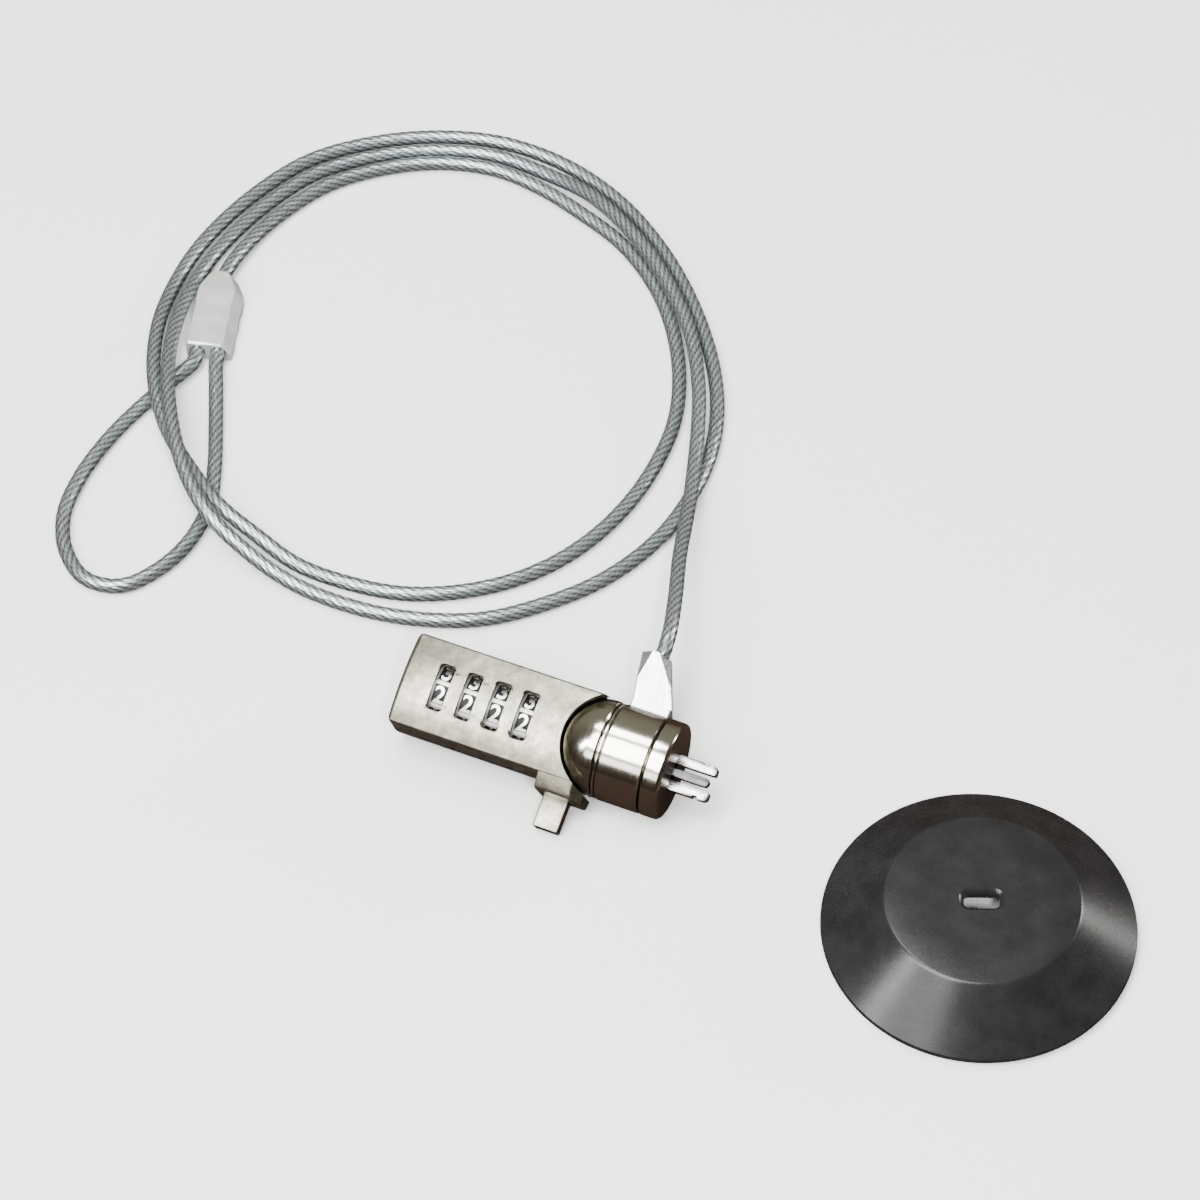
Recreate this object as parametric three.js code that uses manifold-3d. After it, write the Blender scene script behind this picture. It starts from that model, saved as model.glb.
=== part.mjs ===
// A laptop cable lock: a four-dial combination lock with a swivelling, tilting head,
// its coiled wire-rope cable with a crimped loop, and the adhesive anchor plate it locks into.
// Millimetres, +Z up. The origin is the centre of the anchor plate's underside, on the table.
//
// The lock is drawn in its own frame, then laid on the table:
//   x runs forward along the lock, from the rear cap to the prongs,
//   y runs across it, away from the push tab,
//   z runs out of the face that shows the dials,
//   and the origin is the centre of the ball that the head tilts on.
import * as THREE from 'three';
import { mergeVertices } from 'three/addons/utils/BufferGeometryUtils.js';
import Module from 'manifold-3d';

// ---- driving dimensions ----
const HEAD_R = 10;              // ball, cable eye and nose share this outer radius
const GAP = 0.3;                // running gap between pieces
const FAR = 30;                 // reach of a cutting tool past the piece that it cuts

const LOCK_PLACE = [-73.4, 36.6, HEAD_R];
const LOCK_YAW = -22.45;        // degrees, about the vertical
const LOCK_ROLL = 25;           // degrees, about the lock's own axis, so the tab tip meets the table
const EYE_LIFT = 12;            // degrees, the cable eye's lug points slightly up

const BODY = { rear: -41.9, half: 9.5, edgeZ: 7.3, crownZ: 8.9, edgeRadius: 0.7 };
const DIAL = { radius: 8, panel: 7.45, width: 4.4, pitch: 6, first: -33.4, count: 4, bore: 4.6, digits: 10 };
const DIAL_REST = -10;          // degrees, where the shown digit sits from the middle of its window
const DIAL_BORE_R = DIAL.radius + 0.35;
const DIAL_ROOM = [-39.6, -12.9];
const WINDOW = { length: 3.35, across: 9.7, corner: 0.7 };
const SIDE_SLOT = { length: 3.4, low: -2.2, high: 1.1, depth: 7.2 };
const SADDLE = { ballR: HEAD_R + 0.4, archR: 11.2, archX: 4.1, front: 0.3 };
const FLANGE = { rear: -9.2, front: 0.3, out: -12.6, top: 6.1, low: -3.8, lean: 1.7, leanLow: 2.9 };

const TAB = { low: -2.05, high: 0.85, travel: 2 };
const TAB_OUTLINE = [
  [-8.0, -19.2], [-2.6, -19.2], [-2.6, -12.0], [-7.0, -12.0], [-7.0, -9.5], [-8.0, -8.4], [-9.0, -7.8],
  [-11.8, -7.8], [-11.8, -4.0], [-12.4, -3.6], [-12.9, -4.0], [-12.9, -8.8], [-8.5, -8.8], [-8.5, -9.4], [-8.0, -10.0],
];

const CAP = { rear: -41.7, front: -39.7, radius: 7.8 };
const SPINDLE = { radius: 1.5, neck: 1.1, rear: -38.5, shoulder: -4, front: -0.4, fin: 3.3, finWidth: 1.3 };
const SPINDLE_SEAT = { collarX: -36.8, collarR: 2.8, pocketR: 3.1, pocketX: -41.1 };
const YOKE = { rear: -11.5, front: -10.5, radius: 5.2, bore: 2, inner: 3.2, outer: 5, half: 1.9, pinBore: 1.3 };
const PIVOT = { pinR: 1.1, boreR: 1.25, slotHalf: 5.4, slotLow: -2.2, tilt: 30 };

const BARREL = { rim: 0.9, radius: 8.2, shoulder: 11, spigot: 6.5, front: 13.4 };
const EYE = { rear: 2, front: 11, bore: 8.5, lugEnd: 22.5, lugHalf: 2.5, ropeX: 3.6 };
const NOSE = { rear: 11.4, front: 15.2, bore: 6.8, wall: 13.7, rim: 0.9 };
const JAW = { inner: 1.7, outer: 3.7, half: 1.2, rear: 6, front: 23.6, notch: [20.5, 21.4], notchDepth: 0.5 };
const JAW_ROOM = { half: 1.5, outer: 4, rear: 5 };
const PIN = { rodR: 1.1, flatHalf: 0.9, flatRear: 8, rear: 0.4, front: 22.8 };

const ROPE_R = 1.6;
const ROPE_SIDES = 8;
const SLEEVE = { top: [-155.8, 167], foot: [-158.3, 146], half: 4.3, height: 5.2, round: 1.4, legs: 2.3 };

const PLATE = { radius: 31, top: 19.2, height: 11.4, lip: 1.4, base: 1.2, wall: 2 };
const PLATE_SLOT = { length: 7, across: 3.2, corner: 1.1, bevel: 0.9 };
const PAD = { radius: 30.4, height: 0.9 };

// The wire rope's centreline on the table, from the eye's lug round the coil to the crimp sleeve.
const ROPE_ROUTE = [
  // the lead, coming down from the lug and crossing over the coil's outer turn
  [-60.0, 61.2, 15.6], [-58.8, 70.5, 14.3], [-57.7, 83.7, 11.2], [-56.2, 95.5, 7.9], [-55.1, 104, 6],
  [-54.2, 112.7, 5.2], [-53.3, 123, 5.1], [-53.0, 134, 5.1], [-54.4, 148, 5.1],
  // the first turn, riding on the two below it at the right, then flat, then over both at the left
  [-58.0, 160, 5.1], [-64.5, 174, 5], [-75.2, 189, 4.1], [-84.5, 197, 2.3], [-97, 203.6, 1.7], [-109.7, 205.3, 1.7],
  [-123, 203.8, 1.7], [-136.2, 198.9, 1.7], [-147.8, 188.9, 1.7], [-157.8, 175.4, 1.8], [-163, 163, 3],
  [-165.6, 150, 5.1], [-165.9, 136, 7.6], [-164.2, 121.5, 8.6], [-160.7, 108.5, 8.3], [-155.7, 98.8, 7.2],
  [-148.6, 91.7, 4.7], [-137.5, 84, 2], [-124.1, 77.9, 1.7], [-111.2, 75, 1.7], [-98.2, 75, 1.7],
  [-85.4, 78.9, 1.7], [-72.5, 85.8, 1.7], [-61, 97, 1.7], [-52.6, 112.5, 1.7], [-49.4, 125.5, 1.7],
  // the second turn, outermost at the right, lifted over the loop's two legs at the left
  [-49.4, 140, 1.7], [-53.2, 158, 1.7], [-60.3, 175.6, 1.7], [-70.2, 190.6, 1.7], [-82.4, 201.4, 1.7],
  [-96, 207.7, 1.7], [-110, 209.4, 1.7], [-124.5, 207.7, 1.7], [-138.6, 202.4, 1.7], [-151, 191.6, 1.7],
  [-161.3, 177.7, 1.7], [-166.6, 165.5, 2], [-169.3, 151.5, 4], [-169, 136, 5.3], [-165.5, 122.5, 5.3],
  [-159.8, 111.5, 5.3], [-153.4, 102, 5.3], [-145.6, 95.4, 3.7], [-137.2, 89.3, 1.8], [-127, 84.6, 1.7],
  [-114.9, 81.6, 1.7], [-103.2, 82, 1.7], [-92, 85, 1.7], [-81.4, 91, 1.7], [-71.8, 100.2, 1.7],
  [-63.8, 112.5, 1.7], [-58.2, 127.5, 1.7],
  // the last half turn, innermost, up to the crimp sleeve
  [-57.2, 144, 1.7], [-60.6, 161.5, 1.7], [-68.3, 176.4, 1.7], [-78.8, 187.2, 1.7], [-88, 194.6, 1.7],
  [-97.5, 199.6, 1.7], [-109.6, 201.6, 1.7], [-122.3, 199.9, 1.7], [-134.2, 195, 1.7], [-145, 185.6, 1.8],
  [-152, 176, 2.3], [-155, 170, 2.6],
];
// The loop that the rope makes below the sleeve, passing twice under the coil.
const LOOP_ROUTE = [
  [-156.4, 142.5, 2.5], [-156.1, 137, 2.2], [-155.7, 128, 1.7], [-155.3, 115, 1.7], [-155.9, 105, 1.7], [-159.4, 95.5, 1.7],
  [-165.4, 88, 1.7], [-173, 83.6, 1.7], [-180.4, 85.4, 1.7], [-185, 92.6, 1.7], [-186.2, 102, 1.7],
  [-183.6, 112, 1.7], [-178.3, 122.4, 1.7], [-171.4, 132, 1.7], [-165.4, 138.6, 2.1],
  [-161.2, 143.2, 2.5],
];

// ---- solids ----
const wasm = await Module();
wasm.setup();
const rad = THREE.MathUtils.degToRad;

/** Six times the signed volume of a triangle list: its sign says which way the faces point. */
function turning(place, index) {
  const [a, b, c] = [new THREE.Vector3(), new THREE.Vector3(), new THREE.Vector3()];
  let sum = 0;
  for (let i = 0; i < index.length; i += 3) {
    a.fromArray(place, 3 * index[i]);
    b.fromArray(place, 3 * index[i + 1]);
    c.fromArray(place, 3 * index[i + 2]);
    sum += a.dot(b.cross(c));
  }
  return sum;
}

/** A closed three.js geometry as a manifold solid, with its shared corners merged. */
function solid(geometry) {
  const bare = geometry.clone();
  bare.deleteAttribute('normal');
  bare.deleteAttribute('uv');
  const merged = mergeVertices(bare, 1e-4);
  const place = Float32Array.from(merged.attributes.position.array);
  const index = [];
  for (let i = 0; i < merged.index.count; i += 3) {
    const [a, b, c] = [0, 1, 2].map((k) => merged.index.getX(i + k));
    if (a !== b && b !== c && c !== a) {
      index.push(a, b, c);
    }
  }
  const triVerts = Uint32Array.from(turning(place, index) < 0 ? index.reverse() : index);
  return new wasm.Manifold(new wasm.Mesh({ numProp: 3, vertProperties: place, triVerts }));
}

/** The first solid without the others. */
function cut(base, ...tools) {
  return tools.reduce((left, tool) => left.subtract(tool), base);
}

/** All the solids as one. */
function join(base, ...others) {
  return others.reduce((whole, other) => whole.add(other), base);
}

/** A box between two corners. */
function block(x0, x1, y0, y1, z0, z1) {
  const shape = new THREE.BoxGeometry(x1 - x0, y1 - y0, z1 - z0);
  return solid(shape.translate((x0 + x1) / 2, (y0 + y1) / 2, (z0 + z1) / 2));
}

/** A round bar along x between two stations. */
function barX(radius, x0, x1, sides = 24) {
  const shape = new THREE.CylinderGeometry(radius, radius, x1 - x0, sides);
  return solid(shape.rotateZ(-Math.PI / 2).translate((x0 + x1) / 2, 0, 0));
}

/** A round bar along y between two stations. */
function barY(radius, y0, y1, sides = 20) {
  const shape = new THREE.CylinderGeometry(radius, radius, y1 - y0, sides);
  return solid(shape.translate(0, (y0 + y1) / 2, 0));
}

/** A solid turned about the x axis from [station, radius] corners. */
function turnedX(profile, sides = 48) {
  const points = profile.map(([x, r]) => new THREE.Vector2(r, x));
  return solid(new THREE.LatheGeometry(points, sides).rotateZ(-Math.PI / 2));
}

/** A solid turned about the z axis from [radius, height] corners. */
function turnedZ(profile, sides = 64) {
  const points = profile.map(([r, z]) => new THREE.Vector2(r, z));
  return solid(new THREE.LatheGeometry(points, sides).rotateX(Math.PI / 2));
}

/** Corners as a shape. */
function outline(corners) {
  return new THREE.Shape(corners.map(([u, v]) => new THREE.Vector2(u, v)));
}

/** A [x, y] outline raised between two heights. */
function raisedZ(shape, z0, z1, curveSegments = 4) {
  const body = new THREE.ExtrudeGeometry(shape, { depth: z1 - z0, bevelEnabled: false, curveSegments });
  return solid(body.translate(0, 0, z0));
}

/** A [y, z] outline drawn out along x between two stations. */
function drawnX(shape, x0, x1, bevel = 0) {
  const body = new THREE.ExtrudeGeometry(shape, {
    depth: x1 - x0 - 2 * bevel,
    bevelEnabled: bevel > 0,
    bevelThickness: bevel,
    bevelSize: bevel,
    bevelOffset: -bevel,
    bevelSegments: 2,
  });
  body.rotateX(Math.PI / 2).rotateZ(Math.PI / 2);
  return solid(body.translate(x0 + bevel, 0, 0));
}

/** A [x, z] outline drawn out along y between two stations. */
function drawnY(shape, y0, y1) {
  const body = new THREE.ExtrudeGeometry(shape, { depth: y1 - y0, bevelEnabled: false });
  return solid(body.rotateX(Math.PI / 2).translate(0, y1, 0));
}

/** A rectangle with round corners, centred at a point. */
function roundedRect(u, v, width, height, corner) {
  const [right, top] = [width / 2, height / 2];
  const shape = new THREE.Shape();
  shape.absarc(u + right - corner, v + top - corner, corner, 0, Math.PI / 2);
  shape.absarc(u - right + corner, v + top - corner, corner, Math.PI / 2, Math.PI);
  shape.absarc(u - right + corner, v - top + corner, corner, Math.PI, 1.5 * Math.PI);
  shape.absarc(u + right - corner, v - top + corner, corner, 1.5 * Math.PI, 2 * Math.PI);
  return shape;
}

/** The dial stations along the lock, rear first. */
function dialStations() {
  return Array.from({ length: DIAL.count }, (_, i) => DIAL.first + i * DIAL.pitch);
}

// ---- the lock's housing and what it holds ----
/** The housing's [y, z] section: round below, flat sides, and a gently crowned face with hard edges. */
function housingSection() {
  const corners = [];
  for (let i = 0; i <= 16; i += 1) {
    const t = Math.PI + (Math.PI * i) / 16;
    corners.push([HEAD_R * Math.cos(t), HEAD_R * Math.sin(t)]);
  }
  const rise = BODY.crownZ - BODY.edgeZ;
  const crownR = (BODY.half ** 2 + rise ** 2) / (2 * rise);
  const half = Math.asin(BODY.half / crownR);
  for (let i = 0; i <= 8; i += 1) {
    const t = half - (2 * half * i) / 8;
    corners.push([crownR * Math.sin(t), BODY.crownZ - crownR * (1 - Math.cos(t))]);
  }
  return outline(corners);
}

/** The ear that carries the push tab. */
function flange() {
  const section = outline([
    [-8.6, 7.0], [-12.1, FLANGE.top], [FLANGE.out, FLANGE.top - 0.5], [FLANGE.out, FLANGE.low + 0.6],
    [-12.1, FLANGE.low], [-8.6, -5.2],
  ]);
  const { rear, front, top, lean, leanLow } = FLANGE;
  const leaning = drawnY(outline([[front - lean, top + 1], [front + 1, top + 1], [front + 1, leanLow - 2],
    [front, leanLow], [front - lean, top]]), -FAR, FAR);
  return cut(drawnX(section, rear, front), leaning);
}

/** The room that the push tab and its arm slide in. */
function tabRoom() {
  const [low, high] = [TAB.low - GAP, TAB.high + GAP];
  const mouth = block(-8.3, -2.3, -14, -9, low, high);
  const throat = block(-8.8, -6.7, -12.5, -6.5, low, high);
  const armRoom = block(-13.1, -7.5, -9.1, -5.5, low, high);
  const fingerRoom = block(-13.1, -11.6, -9.1, -1.6, low, high);
  return join(mouth, throat, armRoom, fingerRoom);
}

/** The die-cast housing: dial windows, side slots, saddle for the ball, ear for the tab. */
function housingShell() {
  const front = 4;
  const body = join(drawnX(housingSection(), BODY.rear, front, BODY.edgeRadius), flange());
  const windows = dialStations().map((x) =>
    raisedZ(roundedRect(x, 0, WINDOW.length, WINDOW.across, WINDOW.corner), DIAL.panel - 3, FAR));
  const sideSlots = dialStations().flatMap((x) => [-1, 1].map((side) => {
    const [near, far] = [side * SIDE_SLOT.depth, side * 12].sort((p, q) => p - q);
    return block(x - SIDE_SLOT.length / 2, x + SIDE_SLOT.length / 2, near, far, SIDE_SLOT.low, SIDE_SLOT.high);
  }));
  const ball = solid(new THREE.SphereGeometry(SADDLE.ballR, 40, 24));
  const arch = solid(new THREE.CylinderGeometry(SADDLE.archR, SADDLE.archR, FAR, 56).rotateX(Math.PI / 2)
    .translate(SADDLE.archX, 0, 0));
  const beyond = block(SADDLE.front, FAR, -FAR, FAR, -FAR, FAR);
  const dialBore = barX(DIAL_BORE_R, DIAL_ROOM[0], DIAL_ROOM[1], 40);
  const capBore = barX(CAP.radius + GAP, BODY.rear - 1, DIAL_ROOM[0] + 1, 40);
  const springGroove = block(-36.6, -13.6, -2, 2, -9.2, -7.5);
  const spindleBore = barX(SPINDLE.radius + 0.5, DIAL_ROOM[1] - 1, -9, 20);
  const yokeSeat = barX(YOKE.radius + GAP, YOKE.rear - 0.2, -9, 32);
  return cut(body, ball, arch, beyond, dialBore, capBore, springGroove, spindleBore, yokeSeat, tabRoom(),
    ...windows, ...sideSlots);
}

/** The round cap that closes the rear, with a seat for the spindle's spring and a hole for the reset stud. */
function rearCap() {
  const disc = turnedX([[CAP.rear, 0], [CAP.rear, CAP.radius - 0.5], [CAP.rear + 0.5, CAP.radius],
    [CAP.front, CAP.radius], [CAP.front, 0]], 40);
  const springSeat = barX(SPINDLE_SEAT.pocketR, SPINDLE_SEAT.pocketX, CAP.front + 1);
  const studHole = barX(1.6, CAP.rear - 1, CAP.front + 1, 16).translate([0, 0, -5.2]);
  return cut(disc, springSeat, studHole);
}

/** The slotted stud that is turned to set a new code. */
function resetStud() {
  const [rear, front] = [CAP.rear + 0.2, -38.2];
  const stud = barX(1.3, rear, front, 16);
  const slot = block(rear - 1, rear + 0.6, -FAR, FAR, -0.3, 0.3);
  return cut(stud, slot).translate([0, 0, -5.2]);
}

/** One numbered dial: ten panels sunk between ten ribs, on a ring. */
function dial() {
  const step = 360 / DIAL.digits;
  const at = (degrees, radius) => [radius * Math.sin(rad(degrees)), radius * Math.cos(rad(degrees))];
  const corners = [];
  for (let i = 0; i < DIAL.digits; i += 1) {
    const rib = DIAL_REST + step * (i + 0.5);
    corners.push(at(rib - 6, DIAL.panel), at(rib - 4.5, DIAL.radius), at(rib + 4.5, DIAL.radius),
      at(rib + 6, DIAL.panel), at(rib + step / 2, DIAL.panel));
  }
  const ring = drawnX(outline(corners), -DIAL.width / 2, DIAL.width / 2);
  return cut(ring, barX(DIAL.bore, -FAR, FAR, 24));
}

/** The code sleeve inside a dial: a drum with one web, which has a gate for the spindle's fin. */
function codeSleeve() {
  const half = DIAL.width / 2;
  const drum = barX(DIAL.bore - GAP, -half, half, 24);
  const finRoom = barX(SPINDLE.fin + 0.4, -FAR, half - 1.2, 24);
  const bore = barX(SPINDLE.radius + 0.4, -FAR, FAR, 16);
  const gate = block(-FAR, FAR, -SPINDLE.finWidth / 2 - GAP, SPINDLE.finWidth / 2 + GAP, 0, SPINDLE.fin + 0.3);
  return cut(drum, finRoom, bore, gate);
}

/** The spindle: one fin in each code sleeve, a collar for its spring and a neck that reaches the ball. */
function spindle() {
  const shaft = turnedX([
    [SPINDLE.rear, 0], [SPINDLE.rear, SPINDLE.radius], [SPINDLE_SEAT.collarX, SPINDLE.radius],
    [SPINDLE_SEAT.collarX, SPINDLE_SEAT.collarR], [SPINDLE_SEAT.collarX + 0.6, SPINDLE_SEAT.collarR],
    [SPINDLE_SEAT.collarX + 0.6, SPINDLE.radius], [SPINDLE.shoulder, SPINDLE.radius],
    [SPINDLE.shoulder + 0.6, SPINDLE.neck], [SPINDLE.front - 0.5, SPINDLE.neck], [SPINDLE.front, 0.5],
    [SPINDLE.front, 0],
  ], 20);
  const fins = dialStations().map((x) =>
    block(x - 0.2, x + 0.8, -SPINDLE.finWidth / 2, SPINDLE.finWidth / 2, 1, SPINDLE.fin));
  return join(shaft, ...fins);
}

/** The coil spring behind the spindle's collar, which pushes it forward again. */
function spindleSpring() {
  const [turns, wire, coil] = [4, 0.22, 2.25];
  const [start, end] = [SPINDLE_SEAT.pocketX + 0.5, SPINDLE_SEAT.collarX - 0.5];
  const points = [];
  for (let i = 0; i <= turns * 12; i += 1) {
    const t = (2 * Math.PI * i) / 12;
    points.push(new THREE.Vector3(start + ((end - start) * i) / (turns * 12), coil * Math.cos(t), coil * Math.sin(t)));
  }
  return roundTube(points, wire, 5, turns * 12);
}

/** The leaf under the dials, with a bump that clicks between each dial's ribs. */
function detentLeaf() {
  const strip = block(-36.2, -13.9, -1.7, 1.7, -8.9, -8.55);
  const bumps = dialStations().map((x) => block(x - 0.8, x + 0.8, -0.6, 0.6, -8.6, -8.3));
  return join(strip, ...bumps);
}

/** The push tab: the block that the thumb presses, and the arm that reaches round the ball to the spindle. */
function pushTab() {
  return raisedZ(outline(TAB_OUTLINE), TAB.low, TAB.high);
}

/** The steel fork at the housing's front, whose two arms hold the ball's pivot pins. */
function yoke() {
  const disc = barX(YOKE.radius, YOKE.rear, YOKE.front, 32);
  const arms = [-1, 1].flatMap((side) => {
    const [near, far] = [side * YOKE.inner, side * YOKE.outer].sort((p, q) => p - q);
    return [block(YOKE.front - 0.5, 0, near, far, -YOKE.half, YOKE.half), barY(YOKE.half, near, far)];
  });
  const bore = barX(YOKE.bore, -FAR, -6, 20);
  return cut(join(disc, ...arms), bore, barY(YOKE.pinBore, -FAR, FAR, 16));
}

// ---- the head ----
/** The ball with its barrel: a round rear end, slotted for the yoke, that the housing tilts about. */
function ballKnuckle() {
  const profile = [];
  for (let i = 0; i <= 12; i += 1) {
    const t = (Math.PI / 2) * (i / 12);
    profile.push([-HEAD_R * Math.cos(t), HEAD_R * Math.sin(t)]);
  }
  profile.push([BARREL.rim, HEAD_R], [BARREL.rim, BARREL.radius], [BARREL.shoulder, BARREL.radius],
    [BARREL.shoulder, BARREL.spigot], [BARREL.front, BARREL.spigot], [BARREL.front, 0]);
  const tilt = rad(PIVOT.tilt);
  const lift = -PIVOT.slotLow;
  const along = (t) => [-t * Math.cos(tilt) + lift * Math.sin(tilt), t * Math.sin(tilt) + lift * Math.cos(tilt)];
  const slotShape = outline([[3, -lift], [-12, -lift], [-12, 8], along(12), along(0), [3, lift]]);
  const slot = drawnY(slotShape, -PIVOT.slotHalf, PIVOT.slotHalf);
  const pinBore = barY(PIVOT.boreR, -FAR, FAR, 16);
  const rodBore = barX(PIN.rodR + GAP, 0, JAW_ROOM.rear + 1, 16);
  const jawRoom = block(JAW_ROOM.rear, FAR, -JAW_ROOM.outer, JAW_ROOM.outer, -JAW_ROOM.half, JAW_ROOM.half);
  return cut(turnedX(profile, 44), slot, pinBore, rodBore, jawRoom);
}

/** The two short pins on which the ball tilts, one in each side of it. */
function pivotPin(side) {
  const [near, far] = [side * (YOKE.inner + 0.1), side * 9.7].sort((p, q) => p - q);
  return barY(PIVOT.pinR, near, far, 16);
}

/** The thin washer between the ball's rim and the cable eye. */
function swivelWasher() {
  const [rear, front, inner, outer] = [BARREL.rim + 0.25, EYE.rear - 0.25, EYE.bore, HEAD_R - 0.15];
  return turnedX([[rear, inner], [rear, outer], [front, outer], [front, inner], [rear, inner]], 44);
}

/** The nose that closes the head's front, with the slot that the jaws come out of. */
function noseSleeve() {
  const { rear, front, bore, wall, rim } = NOSE;
  const profile = [[rear, bore], [rear, HEAD_R]];
  for (let i = 0; i <= 3; i += 1) {
    const t = (Math.PI / 2) * (i / 3);
    profile.push([front - rim + rim * Math.sin(t), HEAD_R - rim + rim * Math.cos(t)]);
  }
  profile.push([front, 0], [wall, 0], [wall, bore], [rear, bore]);
  const opening = block(0, FAR, -JAW_ROOM.outer, JAW_ROOM.outer, -JAW_ROOM.half, JAW_ROOM.half);
  return cut(turnedX(profile, 44), opening);
}

/** One hooked jaw: a flat prong with a notch, behind its tip, for the edge of the security slot. */
function jaw(side) {
  const { inner, outer, rear, front, notch, notchDepth } = JAW;
  const shape = outline([
    [rear, inner], [front - 0.3, inner], [front, inner + 0.3], [front, outer - 0.6], [front - 0.6, outer],
    [notch[1], outer], [notch[1], outer - notchDepth], [notch[0], outer - notchDepth], [notch[0], outer], [rear, outer],
  ].map(([x, y]) => [x, side * y]));
  return raisedZ(shape, -JAW.half, JAW.half);
}

/** The lock pin between the jaws, which keeps them spread until it is drawn back. */
function lockPin() {
  const rod = barX(PIN.rodR, PIN.rear, PIN.flatRear, 16);
  const flat = raisedZ(outline([
    [PIN.flatRear - 1, -PIN.flatHalf], [PIN.front - 0.7, -PIN.flatHalf], [PIN.front, 0], [PIN.front - 0.7, PIN.flatHalf],
    [PIN.flatRear - 1, PIN.flatHalf],
  ]), -PIN.flatHalf, PIN.flatHalf);
  return join(rod, flat);
}

// ---- the cable ----
/** The eye that swivels on the barrel, with the lug that holds the rope's end. */
function cableEye() {
  const { rear, front, bore, lugEnd, lugHalf } = EYE;
  const ring = turnedX([[rear, bore], [rear, HEAD_R - 0.2], [rear + 0.2, HEAD_R], [front - 0.2, HEAD_R],
    [front, HEAD_R - 0.2], [front, bore], [rear, bore]], 44);
  const plan = raisedZ(outline([[rear + 0.4, 6], [front - 0.2, 6], [front - 0.2, 11.5], [6.3, 19], [5.6, lugEnd],
    [-0.4, lugEnd], [rear + 0.4, 14.5]]), -lugHalf, lugHalf);
  const side = drawnX(outline([[6, -lugHalf], [18, -lugHalf], [lugEnd, -2.2], [lugEnd, 2.2], [18, lugHalf],
    [6, lugHalf]]), -FAR, FAR);
  const lug = cut(plan.intersect(side), barX(bore + 0.6, 0, FAR, 44));
  return join(ring, lug);
}

/** A round tube along points, with flat ends. */
function roundTube(points, radius, sides, steps) {
  const section = new THREE.Shape();
  section.absarc(0, 0, radius, 0, 2 * Math.PI);
  const path = new THREE.CatmullRomCurve3(points, false, 'centripetal');
  const options = { steps, extrudePath: path, bevelEnabled: false, curveSegments: sides };
  return solid(new THREE.ExtrudeGeometry(section, options));
}

/** A rope along a route of [x, y, z] corners. */
function rope(route, steps) {
  return roundTube(route.map((p) => new THREE.Vector3(...p)), ROPE_R, ROPE_SIDES, steps);
}

/** Where a leg of the loop leaves the sleeve, on its left (-1) or right (+1). */
function sleeveLeg(side) {
  const [dx, dy] = [SLEEVE.foot[0] - SLEEVE.top[0], SLEEVE.foot[1] - SLEEVE.top[1]];
  const length = Math.hypot(dx, dy);
  const reach = side * SLEEVE.legs;
  return [SLEEVE.foot[0] - (reach * dy) / length + (GAP * dx) / length,
    SLEEVE.foot[1] + (reach * dx) / length + (GAP * dy) / length, SLEEVE.height / 2];
}

/** The pressed sleeve that joins the rope's end to itself: a flat oval bar, narrowed towards the coil. */
function crimpSleeve() {
  const [dx, dy] = [SLEEVE.foot[0] - SLEEVE.top[0], SLEEVE.foot[1] - SLEEVE.top[1]];
  const length = Math.hypot(dx, dy);
  const section = roundedRect(0, SLEEVE.height / 2, 2 * SLEEVE.half, SLEEVE.height, SLEEVE.round);
  const bar = drawnX(section, 0, length);
  const taper = raisedZ(outline([[0, -2.4], [5.5, -SLEEVE.half], [length + 1, -SLEEVE.half - 1],
    [length + 1, SLEEVE.half + 1], [5.5, SLEEVE.half], [0, 2.4]]), -1, SLEEVE.height + 1);
  const turn = (Math.atan2(dy, dx) * 180) / Math.PI;
  return bar.intersect(taper).rotate([0, 0, turn]).translate([...SLEEVE.top, 0]);
}

// ---- the anchor plate ----
/** The slotted dome that is glued to a desk, hollow below so that the jaws have room. */
function anchorPlate() {
  const { radius, top, height, lip, base, wall } = PLATE;
  const shell = turnedZ([[radius - 1.6, base], [radius, base], [radius, base + lip], [top + 0.35, height - 0.25],
    [top - 0.25, height], [0, height], [0, height - wall], [top - 2, height - wall], [radius - 2.6, base + 0.8],
    [radius - 2.6, base], [radius - 1.6, base]]);
  const { length, across, corner, bevel } = PLATE_SLOT;
  const slot = raisedZ(roundedRect(0, 0, length, across, corner), 0, FAR);
  const leadIn = solid(new THREE.ExtrudeGeometry(roundedRect(0, 0, length, across, corner), {
    depth: 0.01, bevelEnabled: true, bevelThickness: bevel, bevelSize: bevel, bevelSegments: 1, curveSegments: 4,
  }).translate(0, 0, height));
  return cut(shell, slot, leadIn);
}

/** The foam pad under the plate. */
function adhesivePad() {
  return turnedZ([[0, 0], [PAD.radius, 0], [PAD.radius, PAD.height], [0, PAD.height]]);
}

// ---- finishes ----
const finish = (color, roughness, metalness) => ({ color, roughness, metalness });
const SATIN_NICKEL = finish(0xb3ae9f, 0.42, 1);
const POLISHED_NICKEL = finish(0xc9c4b8, 0.12, 1);
const BRIGHT_STEEL = finish(0xd4d6d8, 0.25, 1);
const ROPE_STEEL = finish(0xb4bcbf, 0.35, 0.8);
const DARK_STEEL = finish(0x56575a, 0.4, 1);
const SPRING_STEEL = finish(0x8c8f92, 0.3, 1);
const BRASS = finish(0xb9964f, 0.35, 1);
const DIAL_BLACK = finish(0x26272a, 0.45, 0.4);
const SATIN_BLACK = finish(0x1b1b1d, 0.45, 0.1);
const WHITE_FOAM = finish(0xe9e9e6, 0.9, 0);

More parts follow.
